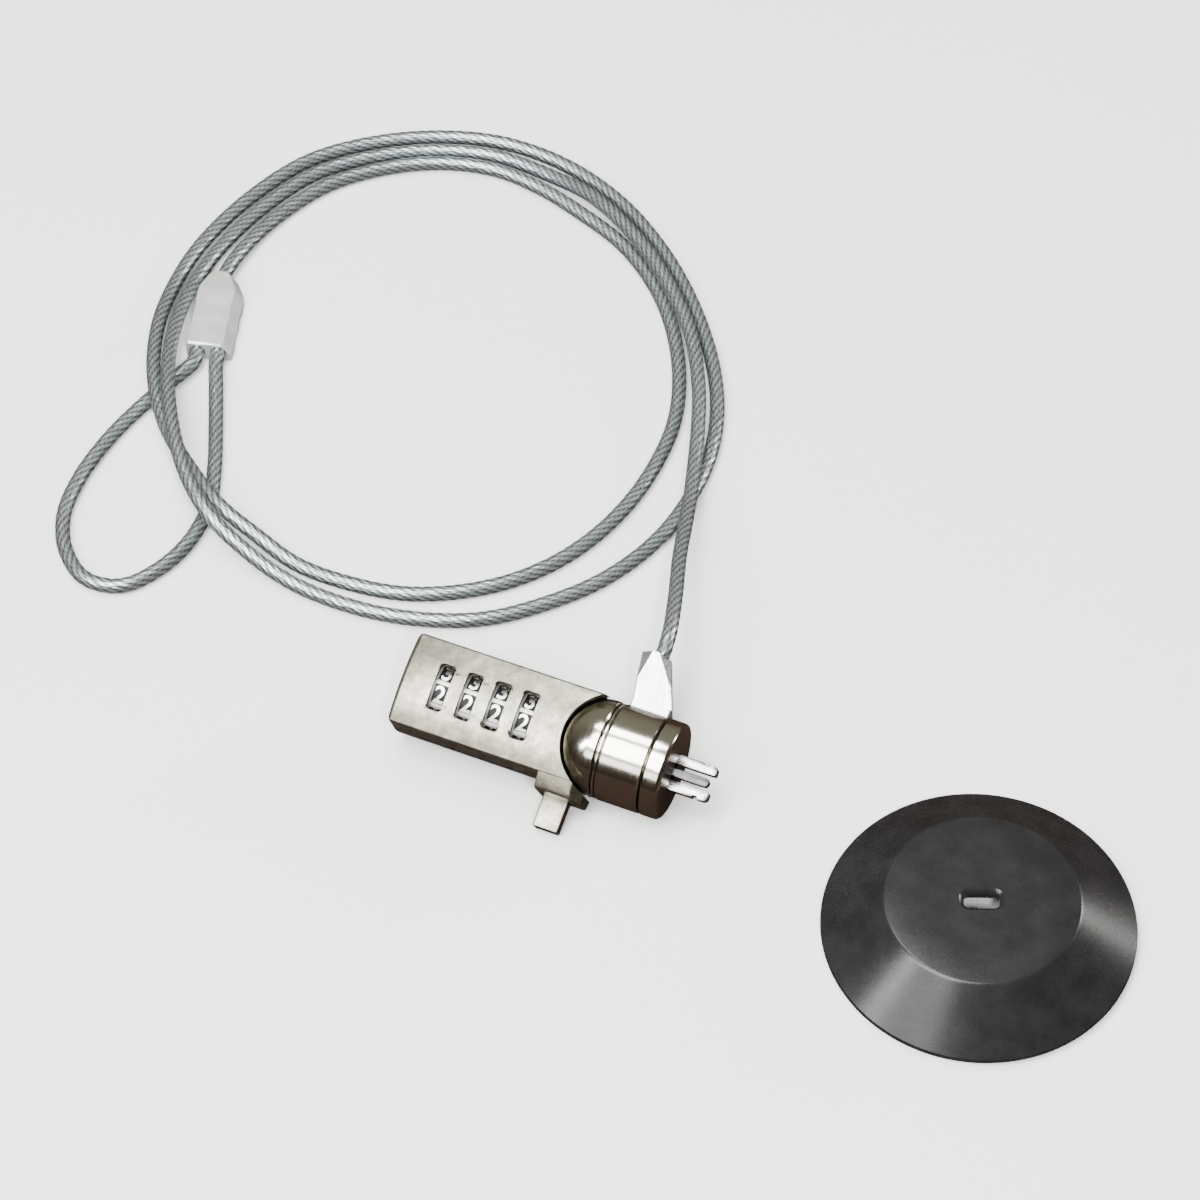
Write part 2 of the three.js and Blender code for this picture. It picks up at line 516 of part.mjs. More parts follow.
/** A named mesh from a solid. */
function piece(name, body, look) {
  const { vertProperties, triVerts } = body.getMesh();
  const geometry = new THREE.BufferGeometry();
  geometry.setAttribute('position', new THREE.BufferAttribute(vertProperties, 3));
  geometry.setIndex(new THREE.BufferAttribute(triVerts, 1));
  geometry.computeVertexNormals();
  const mesh = new THREE.Mesh(geometry, new THREE.MeshStandardMaterial(look));
  mesh.name = name;
  return mesh;
}

/** The housing, the dials and the head, all rolled about the lock's axis. */
function lockGroup() {
  const group = new THREE.Group();
  group.rotation.x = rad(LOCK_ROLL);
  group.add(
    piece('housing_shell', housingShell(), SATIN_NICKEL),
    piece('rear_cap', rearCap(), SATIN_NICKEL),
    piece('reset_stud', resetStud(), BRASS),
    piece('spindle', spindle(), BRIGHT_STEEL),
    piece('spindle_spring', spindleSpring(), SPRING_STEEL),
    piece('detent_leaf', detentLeaf(), SPRING_STEEL),
    piece('push_tab', pushTab(), SATIN_NICKEL),
    piece('yoke', yoke(), BRIGHT_STEEL),
    piece('ball_knuckle', ballKnuckle(), POLISHED_NICKEL),
    piece('pivot_pin_far', pivotPin(1), BRIGHT_STEEL),
    piece('pivot_pin_near', pivotPin(-1), BRIGHT_STEEL),
    piece('swivel_washer', swivelWasher(), POLISHED_NICKEL),
    piece('nose_sleeve', noseSleeve(), POLISHED_NICKEL),
    piece('jaw_far', jaw(1), BRIGHT_STEEL),
    piece('jaw_near', jaw(-1), BRIGHT_STEEL),
    piece('lock_pin', lockPin(), DARK_STEEL),
  );
  dialStations().forEach((x, i) => {
    group.add(
      piece(`dial_${i + 1}`, dial().translate([x, 0, 0]), DIAL_BLACK),
      piece(`code_sleeve_${i + 1}`, codeSleeve().translate([x, 0, 0]), BRASS),
    );
  });
  return group;
}

const model = new THREE.Group();
const lock = new THREE.Group();
lock.position.set(...LOCK_PLACE);
lock.rotation.z = rad(LOCK_YAW);
lock.add(lockGroup());
const eye = new THREE.Group();
eye.rotation.x = rad(EYE_LIFT);
eye.add(piece('cable_eye', cableEye(), BRIGHT_STEEL));
lock.add(eye);
model.add(lock);
model.updateMatrixWorld(true);

const ropeStart = eye.localToWorld(new THREE.Vector3(EYE.ropeX, EYE.lugEnd + GAP, 0)).toArray();
const [ux, uy] = [SLEEVE.top[0] - SLEEVE.foot[0], SLEEVE.top[1] - SLEEVE.foot[1]];
const sleeveLength = Math.hypot(ux, uy);
const ropeEnd = [SLEEVE.top[0] + (GAP * ux) / sleeveLength, SLEEVE.top[1] + (GAP * uy) / sleeveLength,
  SLEEVE.height / 2];
model.add(
  piece('cable', rope([ropeStart, ...ROPE_ROUTE, ropeEnd], 70), ROPE_STEEL),
  piece('cable_loop', rope([sleeveLeg(1), ...LOOP_ROUTE, sleeveLeg(-1)], 16), ROPE_STEEL),
  piece('crimp_sleeve', crimpSleeve(), BRIGHT_STEEL),
  piece('anchor_plate', anchorPlate(), SATIN_BLACK),
  piece('adhesive_pad', adhesivePad(), WHITE_FOAM),
);

export default model;
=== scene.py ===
"""The look of a laptop cable lock, its coiled wire rope and its anchor plate.

Every length below is in millimetres and is turned into metres as a piece is made, except that the lights'
places and sizes are in metres. The lock's pieces are drawn in the lock's own frame: x runs forward to the
jaws, y away from the push tab, z out of the dials' face, and the origin is the centre of the ball that the
head tilts on.
"""
import math

import bmesh
import bpy
import numpy as np
from mathutils import Matrix, Vector


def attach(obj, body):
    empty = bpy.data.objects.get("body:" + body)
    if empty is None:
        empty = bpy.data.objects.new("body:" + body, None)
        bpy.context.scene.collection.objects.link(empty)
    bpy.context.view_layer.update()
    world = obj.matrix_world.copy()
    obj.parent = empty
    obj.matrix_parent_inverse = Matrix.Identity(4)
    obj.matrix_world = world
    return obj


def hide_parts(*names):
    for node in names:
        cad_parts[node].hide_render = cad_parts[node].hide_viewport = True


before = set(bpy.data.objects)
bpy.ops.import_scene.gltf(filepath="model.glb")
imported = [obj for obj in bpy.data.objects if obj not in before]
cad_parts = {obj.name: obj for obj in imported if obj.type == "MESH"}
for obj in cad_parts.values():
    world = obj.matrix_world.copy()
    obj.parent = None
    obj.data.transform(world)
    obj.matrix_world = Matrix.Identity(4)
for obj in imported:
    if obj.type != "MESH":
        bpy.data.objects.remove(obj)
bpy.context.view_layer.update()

MM = 0.001
TAU = 2 * math.pi
FAR = 30.0

# ---- the same driving sizes as the CAD model ----
HEAD_R = 10.0
LOCK_PLACE = (-73.4, 36.6, HEAD_R)
LOCK_YAW, LOCK_ROLL, EYE_LIFT = -22.45, 25.0, 12.0
BODY_REAR, BODY_HALF, BODY_EDGE_Z, BODY_CROWN_Z = -41.9, 9.5, 7.3, 8.9
DIAL_R, DIAL_PANEL_R, DIAL_WIDTH, DIAL_BORE, DIAL_REST = 8.0, 7.45, 4.4, 4.6, -10.0
DIAL_STATIONS = [-33.4, -27.4, -21.4, -15.4]
DIAL_DIGITS, DIAL_STEP, SHOWN_DIGIT = 10, 36.0, 2
DIAL_ROOM_R, DIAL_ROOM_REAR, DIAL_ROOM_FRONT = DIAL_R + 0.35, -39.6, -12.9
CAP_REAR, CAP_FRONT, CAP_R = -41.7, -39.7, 7.8
STUD_R, STUD_Z = 1.3, -5.2
WINDOW = (3.35, 9.7, 0.7)
SIDE_SLOT, SIDE_SLOT_Z = (3.4, 2.2, 0.5), 0.4
SADDLE_FRONT, BALL_ROOM_R, ARCH_R, ARCH_X = 0.3, 10.4, 11.2, 4.1
WING_REAR, WING_OUT = -9.2, -12.6
TAB_LOW, TAB_HIGH, TAB_GAP = -2.05, 0.85, 0.3
BAND_REAR, BAND_FRONT, BAND_BORE = 2.0, 11.0, 8.5
LUG_ROOT, LUG_SHOULDER, LUG_END, LUG_HALF = 9.2, 11.5, 22.5, 2.5
NOSE_REAR, NOSE_FRONT, NOSE_BORE, NOSE_WALL, NOSE_ROUND = 11.4, 15.2, 6.8, 13.7, 0.9
JAW_INNER, JAW_OUTER, JAW_ROOT, JAW_HALF = 1.7, 3.7, 6.0, 1.2
ROPE_R, ROPE_X = 1.6, 3.6
LAY_PITCH = 15.0
SLEEVE_TOP, SLEEVE_FOOT = (-155.8, 167.0), (-158.3, 146.0)
SLEEVE_HALF, SLEEVE_HEIGHT, SLEEVE_LEGS = 4.3, 5.2, 2.3
PLATE_R, PLATE_TOP_R, PLATE_H, PLATE_BASE, PLATE_LIP = 31.0, 19.2, 11.4, 1.2, 1.4
PLATE_SLOT = (7.0, 3.2, 1.1)
PAD_R, PAD_H = 30.4, 0.9

ROPE_ROUTE = [
    (-60.0, 61.2, 15.6), (-58.8, 70.5, 14.3), (-57.7, 83.7, 11.2), (-56.2, 95.5, 7.9), (-55.1, 104, 6),
    (-54.2, 112.7, 5.2), (-53.3, 123, 5.1), (-53.0, 134, 5.1), (-54.4, 148, 5.1),
    (-58.0, 160, 5.1), (-64.5, 174, 5), (-75.2, 189, 4.1), (-84.5, 197, 2.3), (-97, 203.6, 1.7),
    (-109.7, 205.3, 1.7), (-123, 203.8, 1.7), (-136.2, 198.9, 1.7), (-147.8, 188.9, 1.7),
    (-157.8, 175.4, 1.8), (-163, 163, 3), (-165.6, 150, 5.1), (-165.9, 136, 7.6), (-164.2, 121.5, 8.6),
    (-160.7, 108.5, 8.3), (-155.7, 98.8, 7.2), (-148.6, 91.7, 4.7), (-137.5, 84, 2), (-124.1, 77.9, 1.7),
    (-111.2, 75, 1.7), (-98.2, 75, 1.7), (-85.4, 78.9, 1.7), (-72.5, 85.8, 1.7), (-61, 97, 1.7),
    (-52.6, 112.5, 1.7), (-49.4, 125.5, 1.7),
    (-49.4, 140, 1.7), (-53.2, 158, 1.7), (-60.3, 175.6, 1.7), (-70.2, 190.6, 1.7), (-82.4, 201.4, 1.7),
    (-96, 207.7, 1.7), (-110, 209.4, 1.7), (-124.5, 207.7, 1.7), (-138.6, 202.4, 1.7), (-151, 191.6, 1.7),
    (-161.3, 177.7, 1.7), (-166.6, 165.5, 2), (-169.3, 151.5, 4), (-169, 136, 5.3), (-165.5, 122.5, 5.3),
    (-159.8, 111.5, 5.3), (-153.4, 102, 5.3), (-145.6, 95.4, 3.7), (-137.2, 89.3, 1.8), (-127, 84.6, 1.7),
    (-114.9, 81.6, 1.7), (-103.2, 82, 1.7), (-92, 85, 1.7), (-81.4, 91, 1.7), (-71.8, 100.2, 1.7),
    (-63.8, 112.5, 1.7), (-58.2, 127.5, 1.7),
    (-57.2, 144, 1.7), (-60.6, 161.5, 1.7), (-68.3, 176.4, 1.7), (-78.8, 187.2, 1.7), (-88, 194.6, 1.7),
    (-97.5, 199.6, 1.7), (-109.6, 201.6, 1.7), (-122.3, 199.9, 1.7), (-134.2, 195, 1.7),
    (-145, 185.6, 1.8), (-152, 176, 2.3), (-155, 170, 2.6),
]
LOOP_ROUTE = [
    (-156.4, 142.5, 2.5), (-156.1, 137, 2.2), (-155.7, 128, 1.7), (-155.3, 115, 1.7), (-155.9, 105, 1.7),
    (-159.4, 95.5, 1.7), (-165.4, 88, 1.7), (-173, 83.6, 1.7), (-180.4, 85.4, 1.7), (-185, 92.6, 1.7),
    (-186.2, 102, 1.7), (-183.6, 112, 1.7), (-178.3, 122.4, 1.7), (-171.4, 132, 1.7), (-165.4, 138.6, 2.1),
    (-161.2, 143.2, 2.5),
]


# ---- places ----
def turn(degrees, axis):
    """A rotation about one axis."""
    return Matrix.Rotation(math.radians(degrees), 4, axis)


LOCK = Matrix.Translation(LOCK_PLACE) @ turn(LOCK_YAW, "Z") @ turn(LOCK_ROLL, "X")
EYE = Matrix.Translation(LOCK_PLACE) @ turn(LOCK_YAW, "Z") @ turn(EYE_LIFT, "X")
TABLE = Matrix.Identity(4)
TO_METRES = Matrix.Scale(MM, 4)
sleeve_way = Vector((SLEEVE_FOOT[0] - SLEEVE_TOP[0], SLEEVE_FOOT[1] - SLEEVE_TOP[1]))
SLEEVE_LENGTH = sleeve_way.length
SLEEVE = (Matrix.Translation((*SLEEVE_TOP, 0))
          @ Matrix.Rotation(math.atan2(sleeve_way.y, sleeve_way.x), 4, "Z"))


# ---- the camera comes first ----
CAMERA_TARGET = (-74.02, 81.16, 0.0)
CAMERA_DISTANCE = 930.0
CAMERA_ELEVATION = 53.0
CAMERA_LENS = 135.0


def make_camera():
    """A long lens at the height and side that the object is seen from."""
    camera = bpy.data.objects.new("camera", bpy.data.cameras.new("camera"))
    bpy.context.scene.collection.objects.link(camera)
    up = math.radians(CAMERA_ELEVATION)
    back = Vector((0, -math.cos(up), math.sin(up)))
    camera.location = (Vector(CAMERA_TARGET) + back * CAMERA_DISTANCE) * MM
    camera.rotation_mode = "QUATERNION"
    camera.rotation_quaternion = (-back).to_track_quat("-Z", "Y")
    camera.data.lens = CAMERA_LENS
    camera.data.sensor_width = 36.0
    camera.data.clip_start, camera.data.clip_end = 0.05, 20.0
    bpy.context.scene.camera = camera


# ---- material helpers ----
class Nodes:
    """A short hand for building one material's nodes."""

    def __init__(self, name):
        self.material = bpy.data.materials.new(name)
        self.material.use_nodes = True
        self.tree = self.material.node_tree
        self.shader = self.tree.nodes["Principled BSDF"]
        self.place = self.tree.nodes.new("ShaderNodeTexCoord").outputs["Object"]

    def set(self, **values):
        """Constants on the shader's own sockets."""
        for name, value in values.items():
            self.shader.inputs[name.replace("_", " ")].default_value = value
        return self

    def link(self, output, socket):
        self.tree.links.new(output, socket)
        return output

    def stretched(self, scale, turned=0.0):
        """The object's own coordinates, scaled, and turned about the vertical."""
        node = self.tree.nodes.new("ShaderNodeMapping")
        node.vector_type = "TEXTURE"
        node.inputs["Scale"].default_value = [1 / s for s in scale]
        node.inputs["Rotation"].default_value = (0, 0, math.radians(turned))
        self.link(self.place, node.inputs["Vector"])
        return node.outputs["Vector"]

    def noise(self, scale, detail=3.0, roughness=0.55, where=None):
        node = self.tree.nodes.new("ShaderNodeTexNoise")
        node.inputs["Scale"].default_value = scale
        node.inputs["Detail"].default_value = detail
        node.inputs["Roughness"].default_value = roughness
        self.link(where or self.place, node.inputs["Vector"])
        return node.outputs["Fac"]

    def voronoi(self, scale):
        node = self.tree.nodes.new("ShaderNodeTexVoronoi")
        node.inputs["Scale"].default_value = scale
        self.link(self.place, node.inputs["Vector"])
        return node.outputs["Distance"]

    def ramp(self, factor, *stops):
        """Colours or greys at positions."""
        node = self.tree.nodes.new("ShaderNodeValToRGB")
        points = node.color_ramp.elements
        while len(points) < len(stops):
            points.new(0.5)
        for point, (position, value) in zip(points, stops):
            point.position = position
            point.color = (*value, 1) if isinstance(value, tuple) else (value, value, value, 1)
        self.link(factor, node.inputs["Fac"])
        return node.outputs["Color"]

    def bump(self, height, strength, distance):
        node = self.tree.nodes.new("ShaderNodeBump")
        node.inputs["Strength"].default_value = strength
        node.inputs["Distance"].default_value = distance
        previous = self.shader.inputs["Normal"]
        if previous.is_linked:
            self.link(previous.links[0].from_socket, node.inputs["Normal"])
        self.link(height, node.inputs["Height"])
        self.link(node.outputs["Normal"], previous)
        return self

    def colour(self, output):
        self.link(output, self.shader.inputs["Base Color"])
        return self

    def rough(self, output):
        self.link(output, self.shader.inputs["Roughness"])
        return self


# ---- materials ----
def satin_nickel():
    """Plated die casting: fine grain, patchy sheen and a warm cast."""
    m = Nodes("satin_nickel").set(Metallic=0.95)
    m.colour(m.ramp(m.noise(420, 6, 0.7), (0.32, (0.17, 0.16, 0.125)), (0.52, (0.27, 0.255, 0.205)),
                    (0.70, (0.42, 0.405, 0.34))))
    m.rough(m.ramp(m.noise(700, 4, 0.6), (0.32, 0.36), (0.68, 0.27)))
    m.bump(m.noise(3600, 3, 0.6), 0.12, 0.0001)
    return m.material


def polished_nickel():
    """Bright plate with a few hair scratches, round the lock's axis."""
    m = Nodes("polished_nickel").set(Metallic=1.0)
    m.colour(m.ramp(m.noise(90, 3), (0.35, (0.60, 0.58, 0.51)), (0.65, (0.70, 0.68, 0.60))))
    hairs = m.noise(1.0, 3, 0.6, m.stretched((5200, 160, 160), LOCK_YAW))
    m.rough(m.ramp(hairs, (0.35, 0.13), (0.7, 0.2)))
    m.bump(hairs, 0.035, 0.0001)
    m.bump(m.noise(300, 3), 0.04, 0.0002)
    return m.material


def bright_steel():
    """White-silver plated steel with a fine brushed grain."""
    m = Nodes("bright_steel").set(Metallic=0.9)
    m.colour(m.ramp(m.noise(200, 3), (0.3, (0.78, 0.80, 0.81)), (0.7, (0.90, 0.92, 0.93))))
    grain = m.noise(1.0, 2, 0.5, m.stretched((3000, 200, 200), LOCK_YAW))
    m.rough(m.ramp(grain, (0.3, 0.22), (0.7, 0.30)))
    m.bump(grain, 0.02, 0.0001)
    return m.material


def pressed_aluminium():
    """The crimp sleeve's soft white metal, with dull press marks."""
    m = Nodes("pressed_aluminium").set(Metallic=0.65)
    m.colour(m.ramp(m.noise(260, 4), (0.3, (0.80, 0.81, 0.82)), (0.7, (0.90, 0.91, 0.92))))
    m.rough(m.ramp(m.noise(900, 3), (0.3, 0.28), (0.7, 0.40)))
    m.bump(m.noise(700, 3), 0.05, 0.0002)
    return m.material


def prong_steel():
    """The prongs' ground steel, greyer than the plated pieces."""
    m = Nodes("prong_steel").set(Metallic=1.0)
    m.colour(m.ramp(m.noise(400, 3), (0.3, (0.40, 0.40, 0.40)), (0.7, (0.58, 0.58, 0.57))))
    grain = m.noise(1.0, 3, 0.6, m.stretched((400, 3800, 3800), LOCK_YAW))
    m.rough(m.ramp(grain, (0.3, 0.2), (0.7, 0.32)))
    m.bump(grain, 0.04, 0.0001)
    return m.material


def dark_steel():
    """Blackened steel with a worn grain."""
    m = Nodes("dark_steel").set(Metallic=1.0)
    m.colour(m.ramp(m.noise(700, 4), (0.3, (0.075, 0.077, 0.082)), (0.7, (0.14, 0.14, 0.15))))
    m.rough(m.ramp(m.noise(1400, 3), (0.3, 0.28), (0.7, 0.42)))
    m.bump(m.noise(3500, 3), 0.08, 0.0001)
    return m.material


def spring_steel():
    """Grey drawn wire."""
    m = Nodes("spring_steel").set(Metallic=1.0)
    m.colour(m.ramp(m.noise(500, 3), (0.3, (0.40, 0.41, 0.43)), (0.7, (0.52, 0.53, 0.55))))
    m.rough(m.ramp(m.noise(1500, 2), (0.3, 0.25), (0.7, 0.36)))
    return m.material


def brass():
    """Dull machined brass."""
    m = Nodes("brass").set(Metallic=1.0)
    m.colour(m.ramp(m.noise(300, 4), (0.3, (0.55, 0.40, 0.16)), (0.7, (0.68, 0.51, 0.22))))
    m.rough(m.ramp(m.noise(1600, 2), (0.3, 0.24), (0.7, 0.38)))
    m.bump(m.noise(3000, 2), 0.05, 0.0001)
    return m.material


def dial_black():
    """The sunk panels' black paint, slightly pebbled."""
    m = Nodes("dial_black").set(Metallic=0.0, Specular_IOR_Level=0.2)
    m.colour(m.ramp(m.noise(400, 3), (0.35, (0.004, 0.004, 0.005)), (0.65, (0.009, 0.009, 0.010))))
    m.rough(m.ramp(m.noise(1800, 3), (0.3, 0.32), (0.7, 0.46)))
    m.bump(m.noise(5200, 2), 0.12, 0.0001)
    return m.material


def dial_bright():
    """The ribs and digits, rubbed bright."""
    m = Nodes("dial_bright").set(Metallic=1.0)
    m.colour(m.ramp(m.noise(600, 3), (0.3, (0.56, 0.55, 0.52)), (0.7, (0.70, 0.69, 0.66))))
    m.rough(m.ramp(m.noise(2600, 3), (0.3, 0.22), (0.7, 0.34)))
    m.bump(m.noise(5000, 2), 0.06, 0.0001)
    return m.material


def dial_rib():
    """The grip ribs and rims: a duller copy of the dial metal, made paler than the digits as painted light,
    for the light that the ribs catch.
    """
    m = Nodes("dial_rib").set(Metallic=0.8)
    # Painted light: these greys are paler than dial_bright's, so that the ribs read as lit.
    m.colour(m.ramp(m.noise(600, 3), (0.3, (0.60, 0.59, 0.56)), (0.7, (0.76, 0.75, 0.72))))
    m.rough(m.ramp(m.noise(2600, 3), (0.3, 0.32), (0.7, 0.45)))
    m.bump(m.noise(5000, 2), 0.06, 0.0001)
    return m.material


def rope_wire():
    """Galvanised wires: fine lines along each strand, painted shade in the valleys between strands, under a
    clear gloss skin.
    """
    m = Nodes("rope_wire").set(Metallic=0.85, Coat_Weight=0.6, Coat_Roughness=0.12, Coat_IOR=1.45)
    valley = m.tree.nodes.new("ShaderNodeAttribute")
    valley.attribute_name = "crown"
    wires = m.tree.nodes.new("ShaderNodeAttribute")
    wires.attribute_name = "wire"
    # Painted shade: the colour runs from near black in the valleys to bright on the strands' crowns.
    shade = m.ramp(valley.outputs["Fac"], (0.0, (0.03, 0.045, 0.05)), (0.45, (0.24, 0.285, 0.295)),
                   (1.0, (0.64, 0.69, 0.70)))
    mix = m.tree.nodes.new("ShaderNodeMix")
    mix.data_type = "RGBA"
    mix.blend_type = "MULTIPLY"
    mix.inputs["Factor"].default_value = 0.55
    m.link(shade, mix.inputs["A"])
    m.link(m.ramp(wires.outputs["Fac"], (0.0, 0.35), (0.5, 1.0)), mix.inputs["B"])
    m.colour(mix.outputs["Result"])
    m.rough(m.ramp(m.noise(1500, 3), (0.3, 0.26), (0.7, 0.42)))
    m.bump(wires.outputs["Fac"], 0.5, 0.00012)
    return m.material


def satin_black():
    """The anchor plate's powder coat: very fine orange peel and a soft sheen."""
    m = Nodes("satin_black").set(Metallic=0.0, Specular_IOR_Level=0.42)
    m.colour(m.ramp(m.noise(160, 3), (0.35, (0.009, 0.009, 0.0095)), (0.65, (0.014, 0.014, 0.0145))))
    m.rough(m.ramp(m.noise(1000, 3), (0.3, 0.25), (0.7, 0.28)))
    m.bump(m.noise(2600, 2), 0.03, 0.0002)
    return m.material


def white_foam():
    """Closed-cell foam, pitted."""
    m = Nodes("white_foam").set(Roughness=0.85)
    m.colour(m.ramp(m.voronoi(1600), (0.0, (0.66, 0.66, 0.64)), (0.6, (0.86, 0.86, 0.84))))
    m.bump(m.voronoi(1400), 0.5, 0.0002)
    return m.material


def floor_white():
    """A pale sweep. Reflections see it darker and warmer, so that the plated metal keeps its contrast."""
    m = Nodes("floor_white").set(Roughness=0.8, Specular_IOR_Level=0.0)
    rays = m.tree.nodes.new("ShaderNodeLightPath")
    mix = m.tree.nodes.new("ShaderNodeMix")
    mix.data_type = "RGBA"
    m.link(rays.outputs["Is Glossy Ray"], mix.inputs["Factor"])
    m.link(m.ramp(m.noise(3, 2), (0.3, 0.93), (0.7, 0.95)), mix.inputs["A"])
    m.link(m.ramp(m.noise(3, 2), (0.3, (0.020, 0.013, 0.011)), (0.7, (0.026, 0.018, 0.015))), mix.inputs["B"])
    m.colour(mix.outputs["Result"])
    return m.material


# ---- mesh helpers, in millimetres ----
def mesh_object(name, points, faces):
    """A new object from points and faces."""
    mesh = bpy.data.meshes.new(name)
    mesh.from_pydata([tuple(p) for p in points], [], faces)
    obj = bpy.data.objects.new(name, mesh)
    bpy.context.scene.collection.objects.link(obj)
    outwards(mesh)
    return obj


def outwards(mesh):
    """Every face turned to face out."""
    bm = bmesh.new()
    bm.from_mesh(mesh)
    bmesh.ops.remove_doubles(bm, verts=bm.verts, dist=1e-5)
    bmesh.ops.recalc_face_normals(bm, faces=bm.faces)
    bm.to_mesh(mesh)
    bm.free()


def prism(name, outline, low, high, axis="z"):
    """An outline drawn out between two heights. Its two coordinates are (x, y), (y, z) or (x, z)."""
    lift = {
        "z": lambda u, v, w: (u, v, w),
        "x": lambda u, v, w: (w, u, v),
        "y": lambda u, v, w: (u, w, v),
    }[axis]
    n = len(outline)
    points = [lift(u, v, w) for w in (low, high) for u, v in outline]
    sides = [(i, (i + 1) % n, n + (i + 1) % n, n + i) for i in range(n)]
    return mesh_object(name, points, [tuple(range(n)), tuple(range(n, 2 * n)), *sides])


def lofted(name, rings):
    """A closed solid through rings that have the same number of points."""
    n = len(rings[0])
    points = [p for ring in rings for p in ring]
    faces = [tuple(range(n)), tuple(range((len(rings) - 1) * n, len(rings) * n))]
    for k in range(len(rings) - 1):
        base = k * n
        faces += [(base + i, base + (i + 1) % n, base + n + (i + 1) % n, base + n + i) for i in range(n)]
    return mesh_object(name, points, faces)


def turned(name, profile, axis="x", sides=96):
    """A solid turned about an axis from [station, radius] corners. A ring's profile closes on itself."""
    ring = [(math.cos(TAU * k / sides), math.sin(TAU * k / sides)) for k in range(sides)]
    place = {
        "x": lambda s, c, d: (s, c, d),
        "y": lambda s, c, d: (c, s, d),
        "z": lambda s, c, d: (c, d, s),
    }[axis]
    points = [place(s, r * c, r * d) for s, r in profile for c, d in ring]
    faces = []
    loops = list(zip(range(len(profile) - 1), range(1, len(profile))))
    closed = profile[0][1] > 0 and profile[-1][1] > 0
    if closed:
        loops.append((len(profile) - 1, 0))
    for a, b in loops:
        for k in range(sides):
            j = (k + 1) % sides
            faces.append((a * sides + k, a * sides + j, b * sides + j, b * sides + k))
    return mesh_object(name, points, faces)


def bar(name, radius, low, high, axis="x", sides=64):
    """A round bar about an axis."""
    return turned(name, [(low, 0), (low, radius), (high, radius), (high, 0)], axis, sides)


def arc(centre, radius, start, end, count):
    """Points on an arc, in degrees."""
    out = []
    for k in range(count + 1):
        t = math.radians(start + (end - start) * k / count)
        out.append((centre[0] + radius * math.cos(t), centre[1] + radius * math.sin(t)))
    return out


def rounded(u, v, width, height, corner, steps=6, grow=0.0):
    """A rectangle with round corners, as an outline, grown outwards all round."""
    a, b, r = width / 2 - corner, height / 2 - corner, corner + grow
    out = []
    for cx, cy, start in ((a, b, 0), (-a, b, 90), (-a, -b, 180), (a, -b, 270)):
        out += arc((u + cx, v + cy), r, start, start + 90, steps)
    return out


def boolean(obj, tool, operation):
    """Applies one boolean and drops the tool."""
    modifier = obj.modifiers.new("boolean", "BOOLEAN")
    modifier.object = tool
    modifier.operation = operation
    modifier.solver = "MANIFOLD"
    graph = bpy.context.evaluated_depsgraph_get()
    mesh = bpy.data.meshes.new_from_object(obj.evaluated_get(graph))
    obj.modifiers.clear()
    old, obj.data = obj.data, mesh
    bpy.data.meshes.remove(old)
    bpy.data.objects.remove(tool)
    return obj


def cut(obj, *tools):
    """Takes each tool out of a piece."""
    for tool in tools:
        boolean(obj, tool, "DIFFERENCE")
    return obj


def fuse(obj, *others):
    """Joins other solids to a piece."""
    for other in others:
        boolean(obj, other, "UNION")
    return obj


def bevel(obj, width, segments=3, angle=40):
    """Rounds the sharp edges of a simple piece."""
    modifier = obj.modifiers.new("bevel", "BEVEL")
    modifier.width = width
    modifier.segments = segments
    modifier.limit_method = "ANGLE"
    modifier.angle_limit = math.radians(angle)
    graph = bpy.context.evaluated_depsgraph_get()
    mesh = bpy.data.meshes.new_from_object(obj.evaluated_get(graph))
    obj.modifiers.clear()
    obj.data = mesh
    return obj


def settle(obj, place, material, body, replaced=(), sharp=32):
    """Puts a finished piece where it lies, shades it, and hangs it on its body."""
    obj.data.transform(TO_METRES @ place)
    obj.data.materials.clear()
    obj.data.materials.append(material)
    for face in obj.data.polygons:
        face.use_smooth = True
    obj.data.set_sharp_from_angle(angle=math.radians(sharp))
    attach(obj, body)
    if replaced:
        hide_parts(*replaced)
    return obj


# ---- the wire rope ----
def centripetal(points, per_mm=1.1):
    """The smooth centreline through points, as evenly spaced samples."""
    pts = [np.array(p, float) for p in points]
    pts = [2 * pts[0] - pts[1], *pts, 2 * pts[-1] - pts[-2]]
    out = []
    for p0, p1, p2, p3 in zip(pts, pts[1:], pts[2:], pts[3:]):
        t0 = 0.0
        t1 = t0 + np.linalg.norm(p1 - p0) ** 0.5
        t2 = t1 + np.linalg.norm(p2 - p1) ** 0.5
        t3 = t2 + np.linalg.norm(p3 - p2) ** 0.5
        for t in np.linspace(t1, t2, 24, endpoint=False):
            a1 = (t1 - t) / (t1 - t0) * p0 + (t - t0) / (t1 - t0) * p1
            a2 = (t2 - t) / (t2 - t1) * p1 + (t - t1) / (t2 - t1) * p2
            a3 = (t3 - t) / (t3 - t2) * p2 + (t - t2) / (t3 - t2) * p3
            b1 = (t2 - t) / (t2 - t0) * a1 + (t - t0) / (t2 - t0) * a2
            b2 = (t3 - t) / (t3 - t1) * a2 + (t - t1) / (t3 - t1) * a3
            out.append((t2 - t) / (t2 - t1) * b1 + (t - t1) / (t2 - t1) * b2)
    out.append(pts[-2])
    line = np.array(out)
    run = np.concatenate([[0], np.cumsum(np.linalg.norm(np.diff(line, axis=0), axis=1))])
    count = int(run[-1] * per_mm)
    even = np.linspace(0, run[-1], count)
    return np.stack([np.interp(even, run, line[:, k]) for k in range(3)], axis=1), run[-1]


STRANDS = 7
AROUND = 48
CROWN_R, VALLEY_R = ROPE_R, 1.27
WIRES = 5


